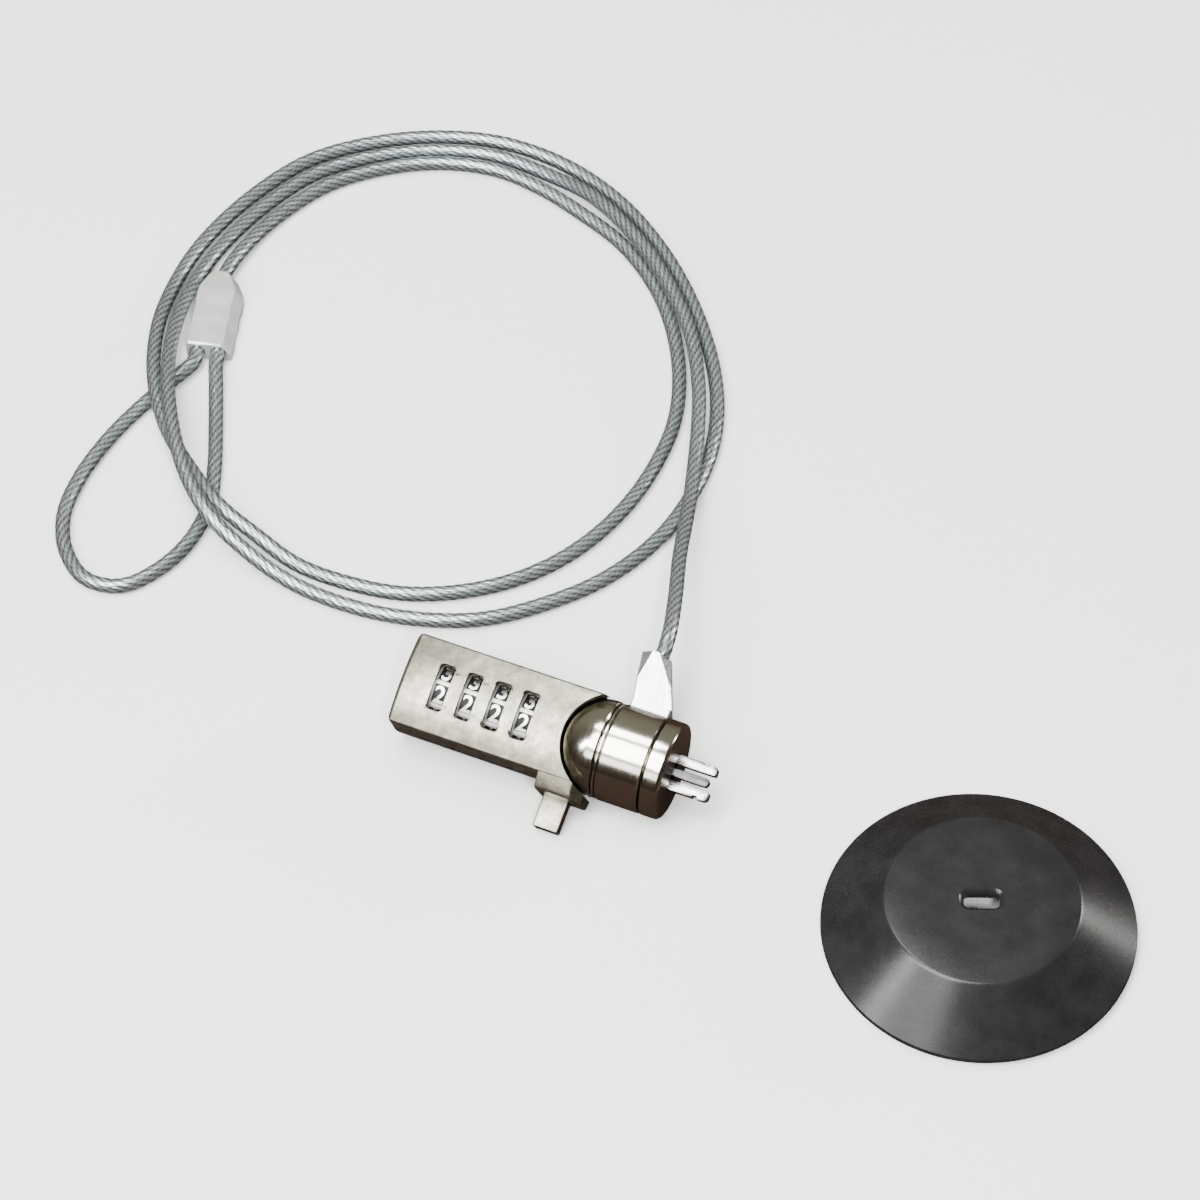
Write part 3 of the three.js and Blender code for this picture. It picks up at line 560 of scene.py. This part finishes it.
def rope(name, route):
    """The outer strands laid up right-handed round a core, swept along the route."""
    line, length = centripetal(route)
    way = np.gradient(line, axis=0)
    way /= np.linalg.norm(way, axis=1)[:, None]
    side = np.cross(way[0], (0, 0, 1.0))
    side /= np.linalg.norm(side)
    angles = np.linspace(0, TAU, AROUND, endpoint=False)
    points, crown, wire = [], [], []
    step = length / (len(line) - 1)
    for i, centre in enumerate(line):
        side = side - way[i] * side.dot(way[i])
        side /= np.linalg.norm(side)
        up = np.cross(way[i], side)
        lay = TAU * i * step / LAY_PITCH
        lobe = np.abs(np.cos((angles - lay) * STRANDS / 2))
        height = VALLEY_R + (CROWN_R - VALLEY_R) * lobe ** 0.75
        ring = centre + height[:, None] * (np.cos(angles)[:, None] * side + np.sin(angles)[:, None] * up)
        points.append(ring)
        crown.append(lobe)
        wire.append(0.5 + 0.5 * np.cos((angles - lay * 0.35) * STRANDS * WIRES))
    n, count = AROUND, len(line)
    faces = [(k * n + i, k * n + (i + 1) % n, (k + 1) * n + (i + 1) % n, (k + 1) * n + i)
             for k in range(count - 1) for i in range(n)]
    faces += [tuple(range(n)), tuple(range((count - 1) * n, count * n))]
    mesh = bpy.data.meshes.new(name)
    mesh.from_pydata(np.concatenate(points).tolist(), [], faces)
    # The crown attribute is the mask for the rope material's painted valley shade; the wire attribute gives
    # its fine lines.
    for label, values in (("crown", crown), ("wire", wire)):
        layer = mesh.attributes.new(label, "FLOAT", "POINT")
        layer.data.foreach_set("value", np.concatenate(values).astype(np.float32))
    bm = bmesh.new()
    bm.from_mesh(mesh)
    bmesh.ops.recalc_face_normals(bm, faces=bm.faces)
    bm.to_mesh(mesh)
    bm.free()
    obj = bpy.data.objects.new(name, mesh)
    bpy.context.scene.collection.objects.link(obj)
    return obj, line * MM, length * MM


def sleeve_point(along, across):
    """A point at the sleeve's mid height: along it from its top, across it to its right."""
    return tuple((SLEEVE @ Vector((along, across, SLEEVE_HEIGHT / 2)))[:])


def make_cords(material):
    """The coil, from the lug to the crimp sleeve, and the end loop, from the sleeve back into it."""
    tip = [tuple(EYE @ Vector((ROPE_X, LUG_END + along, 0))) for along in (-0.5, 1.0)]
    main_route = [*tip, *ROPE_ROUTE, sleeve_point(-1.5, 0), sleeve_point(0.8, 0)]
    main, line, length = rope("wire_rope", main_route)
    settle(main, TABLE, material, "cable", ["cable"], 180)
    foot = SLEEVE_LENGTH
    loop_route = [sleeve_point(foot - 0.8, SLEEVE_LEGS), sleeve_point(foot + 1.2, SLEEVE_LEGS), *LOOP_ROUTE,
                  sleeve_point(foot + 1.2, -SLEEVE_LEGS), sleeve_point(foot - 0.8, -SLEEVE_LEGS)]
    loop, line, length = rope("wire_rope_loop", loop_route)
    settle(loop, TABLE, material, "cable", ["cable_loop"], 180)


# ---- pieces of the cable ----
def make_sleeve(material):
    """The pressed aluminium sleeve: narrowed at the coil's end, slanted at its right, dented by the press."""
    end = SLEEVE_LENGTH
    wide = SLEEVE_HALF + 0.4
    half_at = [(0.0, 1.9, 0.35), (0.35, 2.3, 0.1), (1.2, 3.0, 0), (4.4, 4.5, 0), (5.4, wide, 0)]
    for first in (0.40, 0.64):
        for along, dent in ((0, 0), (0.04, 0.1), (0.12, 0.1), (0.16, 0)):
            half_at.append((end * (first + along), wide - dent, dent / 2))
    half_at += [(end - 0.4, wide, 0), (end, wide - 0.3, 0.3)]
    rings = []
    for along, half, pinch in half_at:
        low, high = pinch, SLEEVE_HEIGHT - pinch
        right = [(half, low), (half + 0.4, low + 0.5), (half + 0.4, 2.0), (half - 1.3, high - 0.15),
                 (half - 1.6, high)]
        left = [(-half + 0.7, high), (-half + 0.2, high - 0.2), (-half, high - 0.7), (-half, low + 0.6)]
        outline = [(-half + 0.6, low), *right, *left]
        rings.append([(along, u, v) for u, v in outline])
    body = lofted("crimp", rings)
    mouths = [bar("tool", 1.75, end - 0.6, end + 2) for _ in range(2)]
    for mouth, side in zip(mouths, (-1, 1)):
        mouth.data.transform(Matrix.Translation((0, side * SLEEVE_LEGS, SLEEVE_HEIGHT / 2)))
    entry = bar("tool", 1.7, -2, 0.6)
    entry.data.transform(Matrix.Translation((0, 0, SLEEVE_HEIGHT / 2)))
    cut(body, *mouths, entry)
    return settle(body, SLEEVE, material, "cable", ["crimp_sleeve"], 28)


def make_eye(polish, material):
    """The swivelling band and its tapered lug, whose face narrows to the rope between two long chamfers."""
    edge = 0.25
    profile = [(BAND_REAR, BAND_BORE), (BAND_REAR, HEAD_R - edge), (BAND_REAR + edge, HEAD_R),
               (BAND_FRONT - edge, HEAD_R), (BAND_FRONT, HEAD_R - edge), (BAND_FRONT, BAND_BORE)]
    ring = turned("eye_band", profile, sides=128)
    settle(ring, EYE, polish, "cable", ["cable_eye"])
    rings = []
    narrows_from = 16.0
    for y in (LUG_ROOT, LUG_SHOULDER, narrows_from, 17.5, 19.0, 20.5, 21.9, LUG_END):
        along = max(0.0, (y - LUG_SHOULDER) / (LUG_END - LUG_SHOULDER))
        x0, x1 = 2.0 - 2.5 * along, 10.2 - 4.4 * along
        half = LUG_HALF - 0.3 * along
        narrow = max(0.0, (y - narrows_from) / (LUG_END - narrows_from))
        face_x0, face_x1 = x0 + 0.25 + 2.2 * narrow, x1 - 0.25 - 2.2 * narrow
        low = half - 0.2 - 2.0 * narrow
        rings.append([(x0, y, -half + 0.2), (x0 + 0.2, y, -half), (x1 - 0.2, y, -half), (x1, y, -half + 0.2),
                      (x1, y, low), (face_x1, y, half), (face_x0, y, half), (x0, y, low)])
    lug = lofted("eye_lug", rings)
    core = bar("tool", 9.6, 0, FAR, sides=128)
    cut(lug, core)
    mouth = bar("tool", 1.7, LUG_END - 0.9, FAR, "y")
    mouth.data.transform(Matrix.Translation((ROPE_X, 0, 0)))
    cut(lug, mouth)
    settle(lug, EYE, material, "cable", sharp=14)


# ---- pieces of the housing ----
def crown_height(y):
    """The face's height across the housing."""
    rise = BODY_CROWN_Z - BODY_EDGE_Z
    radius = (BODY_HALF ** 2 + rise ** 2) / (2 * rise)
    return BODY_CROWN_Z - radius + math.sqrt(radius ** 2 - y ** 2)


def body_section(shrink=0.0):
    """The housing's [y, z] section, moved inwards all round."""
    lower = arc((0, 0), HEAD_R - shrink, 180, 360, 48)
    half = BODY_HALF - shrink
    edge = 0.35
    right = [(half, BODY_EDGE_Z - edge - shrink), (half - edge * 0.3, BODY_EDGE_Z - edge * 0.3 - shrink)]
    top = [(y, crown_height(y) - shrink) for y in np.linspace(half - edge, -half + edge, 25)]
    left = [(-y, z) for y, z in reversed(right)]
    return lower + right + top + left


def make_wing():
    """The wing over the thumb tab, which carries on the face's slope and leans back at its front corner."""
    section = [(-8.6, 7.5), (-9.5, 7.22), (-11.9, 6.35), (-12.3, 6.1), (WING_OUT + 0.05, 5.7),
               (WING_OUT, 5.0), (WING_OUT, -3.0), (-12.45, -3.5), (-12.0, -3.8), (-8.6, -5.2)]
    wing = prism("wing", section, WING_REAR, SADDLE_FRONT, "x")
    cut(wing, prism("tool", [(-1.6, 7.8), (1.3, 7.8), (1.3, 0.9), (SADDLE_FRONT, 2.9), (-1.6, 6.5)],
                    -FAR, FAR, "y"))
    return bevel(wing, 0.3, 3, 30)


def make_housing(material, black):
    """The die-cast shell, its windows, side slots, saddle for the ball and rooms for the moving pieces."""
    front = 4.0
    sections = [(BODY_REAR, 0.85), (BODY_REAR + 0.12, 0.5), (BODY_REAR + 0.35, 0.22), (BODY_REAR + 0.7, 0.05),
                (BODY_REAR + 1.0, 0.0), (front, 0.0)]
    body = lofted("housing", [[(x, y, z) for y, z in body_section(s)] for x, s in sections])
    fuse(body, make_wing())
    sphere = turned("tool", [(x, y) for x, y in arc((0, 0), BALL_ROOM_R, 0, 180, 48)], sides=96)
    arch = bar("tool", ARCH_R, -FAR, FAR, "z", 128)
    arch.data.transform(Matrix.Translation((ARCH_X, 0, 0)))
    beyond = prism("tool", [(SADDLE_FRONT, -FAR), (FAR, -FAR), (FAR, FAR), (SADDLE_FRONT, FAR)], -FAR, FAR)
    cut(body, beyond, sphere, arch)
    dial_room = bar("tool", DIAL_ROOM_R, DIAL_ROOM_REAR, DIAL_ROOM_FRONT, sides=96)
    cap_room = bar("tool", CAP_R + 0.3, BODY_REAR - 1, DIAL_ROOM_REAR + 1, sides=96)
    cut(body, dial_room, cap_room)
    for x in DIAL_STATIONS:
        window = prism("tool", rounded(x, 0, *WINDOW), 4.4, FAR)
        flare = [[(u, v, crown_height(v) - 0.28) for u, v in rounded(x, 0, *WINDOW)],
                 [(u, v, crown_height(v) + 0.1) for u, v in rounded(x, 0, *WINDOW, grow=0.34)]]
        cut(body, window, lofted("tool", flare))
        for side in (-1, 1):
            slot = rounded(x, SIDE_SLOT_Z, *SIDE_SLOT)
            cut(body, prism("tool", slot, *sorted((side * 7.2, side * 12)), "y"))
    tab_rooms = [(-8.3, -2.3, -14, -9), (-8.8, -6.7, -12.5, -6.5), (-13.1, -7.5, -9.1, -5.5),
                 (-13.1, -11.6, -9.1, -1.6)]
    for x0, x1, y0, y1 in tab_rooms:
        room = [(x0, y0), (x1, y0), (x1, y1), (x0, y1)]
        cut(body, prism("tool", room, TAB_LOW - TAB_GAP, TAB_HIGH + TAB_GAP))
    settle(body, LOCK, material, "housing", ["housing_shell"], 22)
    # Painted shade: the side slots' walls take the black dial paint, to stand for the dark inside the slots.
    blacken_slots(body, black)


def blacken_slots(body, black):
    """The side slots' inner faces, given the black dial paint as painted shade inside the slots."""
    body.data.materials.append(black)
    to_lock = (TO_METRES @ LOCK).inverted()
    turned_back = to_lock.to_3x3()
    for face in body.data.polygons:
        centre = to_lock @ face.center
        facing = (turned_back @ face.normal).normalized()
        in_slot = any(abs(centre.x - x) < SIDE_SLOT[0] / 2 + 0.02 for x in DIAL_STATIONS)
        in_slot = in_slot and abs(centre.z - SIDE_SLOT_Z) < SIDE_SLOT[1] / 2 + 0.02 and abs(centre.y) > 7.2
        if in_slot and abs(facing.y) < 0.5:
            face.material_index = 1


def make_cap(nickel, stud_brass):
    """The rear cap, with its turned face and the spring's seat, and the slotted reset stud in it."""
    sunk = CAP_REAR + 0.15
    cap = turned("rear_plug", [(CAP_REAR, 0), (CAP_REAR, 3.0), (sunk, 3.15), (sunk, 6.6), (CAP_REAR, 6.75),
                               (CAP_REAR, 7.3), (sunk, 7.6), (CAP_REAR + 0.5, CAP_R), (CAP_FRONT, CAP_R),
                               (CAP_FRONT, 0)], sides=96)
    hole = bar("tool", 1.6, CAP_REAR - 1.3, CAP_FRONT + 0.7)
    hole.data.transform(Matrix.Translation((0, 0, STUD_Z)))
    cut(cap, hole, bar("tool", 3.1, CAP_REAR + 0.6, CAP_FRONT + 0.7))
    settle(cap, LOCK, nickel, "housing", ["rear_cap"], 25)
    rear, front = CAP_REAR + 0.2, -38.2
    stud = turned("reset_screw", [(rear, 0), (rear, STUD_R - 0.2), (rear + 0.2, STUD_R), (front, STUD_R),
                                  (front, 0)], sides=48)
    driver_slot = [(-FAR, -0.3), (FAR, -0.3), (FAR, 0.3), (-FAR, 0.3)]
    cut(stud, prism("tool", driver_slot, rear - 1.5, rear + 0.6, "x"))
    stud.data.transform(Matrix.Translation((0, 0, STUD_Z)))
    settle(stud, LOCK, stud_brass, "reset_stud", ["reset_stud"])


def make_tab(material):
    """The thumb block, with rounded edges, and its arm."""
    block = prism("tab_block", rounded(-5.3, -15.6, 5.4, 7.2, 0.5), TAB_LOW, TAB_HIGH)
    bevel(block, 0.35, 3, 50)
    hook = [(-8.0, -12.3), (-7.0, -12.3), (-7.0, -9.5), (-8.0, -8.4), (-9.0, -7.8), (-11.8, -7.8),
            (-11.8, -4.0), (-12.4, -3.6), (-12.9, -4.0), (-12.9, -8.8), (-8.5, -8.8), (-8.5, -9.4),
            (-8.0, -10.0)]
    arm = prism("tool", hook, TAB_LOW + 0.05, TAB_HIGH - 0.05)
    fuse(block, arm)
    settle(block, LOCK, material, "push_tab", ["push_tab"], 25)


# ---- dials ----
def on_dial(obj, x, angle):
    """Bends a flat piece, drawn round the origin with its face up, onto the dial's rim."""
    for vertex in obj.data.vertices:
        u, v, w = vertex.co
        t = math.radians(angle) + v / DIAL_PANEL_R
        r = DIAL_PANEL_R + w
        vertex.co = (x + u, r * math.sin(t), r * math.cos(t))


def digit(value):
    """A raised digit, 3.4 mm tall, in bold strokes of the default lettering."""
    curve = bpy.data.curves.new("digit", "FONT")
    curve.body = str(value)
    curve.size = 4.7
    curve.align_x = "CENTER"
    curve.extrude = 0.18
    curve.offset = 0.07
    curve.bevel_depth = 0.03
    text = bpy.data.objects.new("digit", curve)
    bpy.context.scene.collection.objects.link(text)
    graph = bpy.context.evaluated_depsgraph_get()
    mesh = bpy.data.meshes.new_from_object(text.evaluated_get(graph))
    bpy.data.objects.remove(text)
    low = min(v.co.y for v in mesh.vertices)
    high = max(v.co.y for v in mesh.vertices)
    mesh.transform(Matrix.Translation((0, -(low + high) / 2, 0.14)))
    obj = bpy.data.objects.new("digit", mesh)
    bpy.context.scene.collection.objects.link(obj)
    return obj


def joined(name, objects):
    """Several meshes as one object."""
    bm = bmesh.new()
    for obj in objects:
        bm.from_mesh(obj.data)
    mesh = bpy.data.meshes.new(name)
    bm.to_mesh(mesh)
    bm.free()
    for obj in objects:
        bpy.data.objects.remove(obj)
    out = bpy.data.objects.new(name, mesh)
    bpy.context.scene.collection.objects.link(out)
    return out


def make_dial(number, x, black, bright, pale):
    """A dial's black ring, its pale rims and ribs, and its bright digits."""
    body = f"dial_{number}"
    half = DIAL_WIDTH / 2
    edge = DIAL_PANEL_R - 0.15
    profile = [(x - half, DIAL_BORE), (x - half, edge), (x - half + 0.15, DIAL_PANEL_R),
               (x + half - 0.15, DIAL_PANEL_R), (x + half, edge), (x + half, DIAL_BORE)]
    ring = turned(f"dial_ring_{number}", profile)
    settle(ring, LOCK, black, body, [body])
    ribs, digits = [], []
    for inner, outer in ((-half + 0.02, -half + 0.8), (half - 0.8, half - 0.02)):
        ribs.append(turned("rim", [(x + inner, 7.0), (x + inner, 7.75), (x + inner + 0.12, 7.9),
                                   (x + outer - 0.12, 7.9), (x + outer, 7.75), (x + outer, 7.0)]))
    rib_section = [(-0.6, -0.2), (-0.52, 0.3), (-0.36, 0.5), (0, 0.56), (0.36, 0.5), (0.52, 0.3), (0.6, -0.2)]
    for k in range(DIAL_DIGITS):
        angle = DIAL_REST + DIAL_STEP * k
        rib = prism("rib", rib_section, -half + 0.05, half - 0.05, "x")
        bevel(rib, 0.06, 2, 50)
        on_dial(rib, x, angle + DIAL_STEP / 2)
        ribs.append(rib)
        figure = digit((SHOWN_DIGIT + k) % DIAL_DIGITS)
        on_dial(figure, x, angle)
        digits.append(figure)
    settle(joined(f"dial_ribs_{number}", ribs), LOCK, pale, body)
    settle(joined(f"dial_digits_{number}", digits), LOCK, bright, body)


# ---- pieces of the head ----
def make_ball(material):
    """The dome, its barrel and the nose's spigot, with the rooms for the yoke, the pins and the jaws."""
    profile = arc((0, 0), HEAD_R, 180, 90, 32)
    profile += [(0.6, HEAD_R), (0.9, 9.8), (0.9, 8.2), (11, 8.2), (11, 6.5), (13.4, 6.5), (13.4, 0)]
    ball = turned("ball", profile, sides=128)
    yoke_slot = [(3, -2.2), (-12, -2.2), (-12, 8), (-9.29, 7.9), (1.1, 1.905), (3, 2.2)]
    slot = prism("tool", yoke_slot, -5.4, 5.4, "y")
    cut(ball, slot)
    room = prism("tool", [(5, -4), (FAR, -4), (FAR, 4), (5, 4)], -1.5, 1.5)
    cut(ball, room, bar("tool", 1.25, -FAR, FAR, "y", 48), bar("tool", 1.4, 0, 6))
    settle(ball, LOCK, material, "head", ["ball_knuckle"], 25)


def make_head_rings(material, steel):
    """The washer, the nose sleeve with the mouth for the jaws, and the two pivot pins."""
    washer = turned("washer", [(1.15, 8.5), (1.15, 9.7), (1.3, 9.85), (1.6, 9.85), (1.75, 9.7), (1.75, 8.5)],
                    sides=128)
    settle(washer, LOCK, material, "head", ["swivel_washer"])
    profile = [(NOSE_REAR, NOSE_BORE), (NOSE_REAR, HEAD_R - 0.25), (NOSE_REAR + 0.25, HEAD_R)]
    profile += arc((NOSE_FRONT - NOSE_ROUND, HEAD_R - NOSE_ROUND), NOSE_ROUND, 90, 0, 8)
    profile += [(NOSE_FRONT, 0), (NOSE_WALL, 0), (NOSE_WALL, NOSE_BORE)]
    nose = turned_bowl("nose", profile)
    cut(nose, prism("tool", rounded(0, 0, 8, 3, 0.3), 0, FAR, "x"))
    settle(nose, LOCK, material, "head", ["nose_sleeve"], 25)
    for name, side in (("pivot_pin_far", 1), ("pivot_pin_near", -1)):
        ends = sorted((side * 3.3, side * 9.7))
        low, high = ends
        outline = [(low, 0), (low, 0.95), (low + 0.15, 1.1), (high - 0.15, 1.1), (high, 0.95), (high, 0)]
        pin = turned(name.replace("pivot_", ""), outline, "y", 48)
        settle(pin, LOCK, steel, "head", [name])


def turned_bowl(name, profile):
    """A turned solid whose profile leaves and meets itself off the axis, and crosses the axis between."""
    start = next(i for i, (_, r) in enumerate(profile) if r == 0)
    outer = profile[:start + 1]
    inner = profile[start + 1:]
    solid = turned(name, [(outer[0][0], 0), *outer], sides=128)
    beyond = profile[0][0] - 1
    hollow = turned("tool", [inner[0], inner[-1], (beyond, profile[0][1]), (beyond, 0)], sides=128)
    return cut(solid, hollow)


def make_jaws(steel, dark):
    """The two notched prongs, and the bar between them, which is round in the head and flat outside."""
    for name, side in (("jaw_far", 1), ("jaw_near", -1)):
        tip = [(23.25, JAW_INNER), (23.5, 1.8), (23.6, 2.05), (23.6, 2.95), (23.45, 3.35), (23.0, 3.62),
               (22.6, JAW_OUTER)]
        notch = [(21.4, JAW_OUTER), (21.4, 3.2), (20.5, 3.2), (20.5, JAW_OUTER)]
        outline = [(JAW_ROOT, JAW_INNER), *tip, *notch, (JAW_ROOT, JAW_OUTER)]
        prong = prism(name.replace("jaw", "prong"), [(x, side * y) for x, y in outline], -JAW_HALF, JAW_HALF)
        bevel(prong, 0.14, 2, 35)
        settle(prong, LOCK, steel, name, [name], 30)
    pin = bar("lock_bar", 1.1, 0.4, 8)
    flat = prism("tool", [(7, -0.9), (22.0, -0.9), (22.45, -0.72), (22.7, -0.4), (22.8, 0), (22.7, 0.4),
                          (22.45, 0.72), (22.0, 0.9), (7, 0.9)], -0.9, 0.9)
    bevel(flat, 0.15, 2, 50)
    fuse(pin, flat)
    settle(pin, LOCK, dark, "lock_pin", ["lock_pin"], 30)


# ---- the anchor plate ----
def make_plate(black, foam):
    """The hollow coned plate with its flared slot, and the white pad stuck under it."""
    brim = PLATE_BASE + PLATE_LIP
    profile = [(PLATE_BASE, PLATE_R - 1.6), (PLATE_BASE, PLATE_R - 0.3), (PLATE_BASE + 0.12, PLATE_R - 0.08),
               (PLATE_BASE + 0.35, PLATE_R), (brim - 0.4, PLATE_R), (brim - 0.12, PLATE_R - 0.1),
               (brim + 0.12, PLATE_R - 0.42)]
    profile += [(PLATE_H - 0.45, PLATE_TOP_R + 0.55), (PLATE_H - 0.22, PLATE_TOP_R + 0.25),
                (PLATE_H - 0.06, PLATE_TOP_R - 0.05), (PLATE_H, PLATE_TOP_R - 0.4)]
    profile += [(PLATE_H, 12.0), (PLATE_H, 0)]
    solid = turned("plate", [(PLATE_BASE, 0), *profile], "z", 192)
    hollow = turned("tool", [(0, 0), (0, PLATE_R - 2.6), (PLATE_BASE + 0.8, PLATE_R - 2.6),
                             (PLATE_H - 2, PLATE_TOP_R - 2), (PLATE_H - 2, 0)], "z", 96)
    cut(solid, hollow, prism("tool", rounded(0, 0, *PLATE_SLOT), 0, FAR))
    flare = [[(u, v, PLATE_H - depth) for u, v in rounded(0, 0, *PLATE_SLOT, grow=grow)]
             for depth, grow in ((0.95, -0.02), (0.7, 0.1), (0.4, 0.36), (0.15, 0.68), (-0.1, 1.05))]
    cut(solid, lofted("tool", flare))
    settle(solid, TABLE, black, "plate", ["anchor_plate"], 24)
    pad_profile = [(0, 0), (0, PAD_R - 0.2), (0.15, PAD_R), (PAD_H - 0.15, PAD_R), (PAD_H, PAD_R - 0.2),
                   (PAD_H, 0)]
    pad = turned("foam_pad", pad_profile, "z", 160)
    settle(pad, TABLE, foam, "plate", ["adhesive_pad"])


# ---- stage ----
def make_stage():
    """The floor and the surroundings, which are darker and browner towards the viewer."""
    floor = mesh_object("floor", [(-3000, -3000, 0), (3000, -3000, 0), (3000, 3000, 0), (-3000, 3000, 0)],
                        [(0, 1, 2, 3)])
    floor.data.transform(TO_METRES)
    floor.data.materials.append(floor_white())
    world = bpy.data.worlds.new("studio")
    bpy.context.scene.world = world
    world.use_nodes = True
    tree = world.node_tree
    coords = tree.nodes.new("ShaderNodeTexCoord")
    split = tree.nodes.new("ShaderNodeSeparateXYZ")
    tree.links.new(coords.outputs["Generated"], split.inputs["Vector"])
    height = world_ramp(tree, split.outputs["Z"], (0.0, (0.20, 0.16, 0.13)), (0.45, (0.36, 0.34, 0.28)),
                        (1.0, (0.46, 0.46, 0.41)))
    depth = world_ramp(tree, split.outputs["Y"], (0.0, (0.22, 0.17, 0.15)), (0.5, (0.7, 0.68, 0.62)),
                       (1.0, (1.0, 1.0, 0.95)))
    mix = tree.nodes.new("ShaderNodeMix")
    mix.data_type = "RGBA"
    mix.blend_type = "MULTIPLY"
    mix.inputs["Factor"].default_value = 1.0
    tree.links.new(height, mix.inputs["A"])
    tree.links.new(depth, mix.inputs["B"])
    tree.links.new(mix.outputs["Result"], tree.nodes["Background"].inputs["Color"])
    rays = tree.nodes.new("ShaderNodeLightPath")
    strength = world_ramp(tree, rays.outputs["Is Glossy Ray"], (0.0, (1.7, 1.7, 1.7)), (1.0, (0.8, 0.8, 0.8)))
    tree.links.new(strength, tree.nodes["Background"].inputs["Strength"])


def world_ramp(tree, factor, *stops):
    """Colours along a factor, for the surroundings."""
    node = tree.nodes.new("ShaderNodeValToRGB")
    points = node.color_ramp.elements
    while len(points) < len(stops):
        points.new(0.5)
    for point, (position, colour) in zip(points, stops):
        point.position, point.color = position, (*colour, 1)
    tree.links.new(factor, node.inputs["Fac"])
    return node.outputs["Color"]


def area_light(name, place, target, size, power, colour=(1, 1, 1), mirrored=True):
    """A rectangular light aimed at a target. One that isn't mirrored is left out of reflections."""
    data = bpy.data.lights.new(name, "AREA")
    data.shape = "RECTANGLE"
    data.size, data.size_y = size
    data.energy = power
    data.color = colour
    light = bpy.data.objects.new(name, data)
    bpy.context.scene.collection.objects.link(light)
    light.location = place
    light.visible_glossy = mirrored
    way = Vector(target) - Vector(place)
    light.rotation_mode = "QUATERNION"
    light.rotation_quaternion = way.to_track_quat("-Z", "Y")


def make_lights():
    """Soft boxes and cards that the metal mirrors, and two fills that light the floor and the slot only."""
    middle = (-0.08, 0.06, 0)
    area_light("overhead", (-0.40, -0.30, 1.05), middle, (0.55, 0.75), 24, (1.0, 0.99, 0.97))
    area_light("left_strip", (-0.92, -0.30, 0.86), middle, (0.16, 0.5), 7, (0.96, 0.99, 1.0))
    area_light("right_strip", (0.98, 0.50, 0.42), (0, 0, 0), (0.22, 0.3), 6, (1.0, 0.98, 0.95))
    area_light("near_camera", (0.05, -0.62, 0.86), (0, 0.01, 0), (0.10, 0.10), 9, mirrored=False)
    area_light("front_card", (-0.54, -0.56, 0.50), middle, (0.35, 0.22), 1.3, (1.0, 0.99, 0.97))
    area_light("floor_fill", (-0.08, 0.25, 1.8), middle, (1.8, 1.8), 21, mirrored=False)
    area_light("lug_card", (-0.19, 0.33, 0.95), (-0.07, 0.06, 0.01), (0.26, 0.2), 3.2, (0.97, 1.0, 1.0))


# ---- everything ----
def main():
    """Builds the camera, every piece, the stage and the lights."""
    make_camera()
    nickel, polish, steel = satin_nickel(), polished_nickel(), bright_steel()
    dark, black, bright = dark_steel(), dial_black(), dial_bright()
    gold, coil = brass(), spring_steel()
    sleeve = make_sleeve(pressed_aluminium())
    make_cords(rope_wire())
    make_eye(polish, steel)
    make_housing(nickel, black)
    make_cap(nickel, gold)
    make_tab(nickel)
    pale = dial_rib()
    for number, x in enumerate(DIAL_STATIONS, 1):
        make_dial(number, x, black, bright, pale)
    make_ball(polish)
    make_head_rings(polish, steel)
    make_jaws(prong_steel(), dark)
    make_plate(satin_black(), white_foam())
    finishes = {"yoke": steel, "spindle": steel, "spindle_spring": coil, "detent_leaf": coil}
    finishes |= {f"code_sleeve_{k}": gold for k in range(1, 5)}
    for node, material in finishes.items():
        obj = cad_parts[node]
        obj.data.materials.clear()
        obj.data.materials.append(material)
    make_stage()
    make_lights()


main()
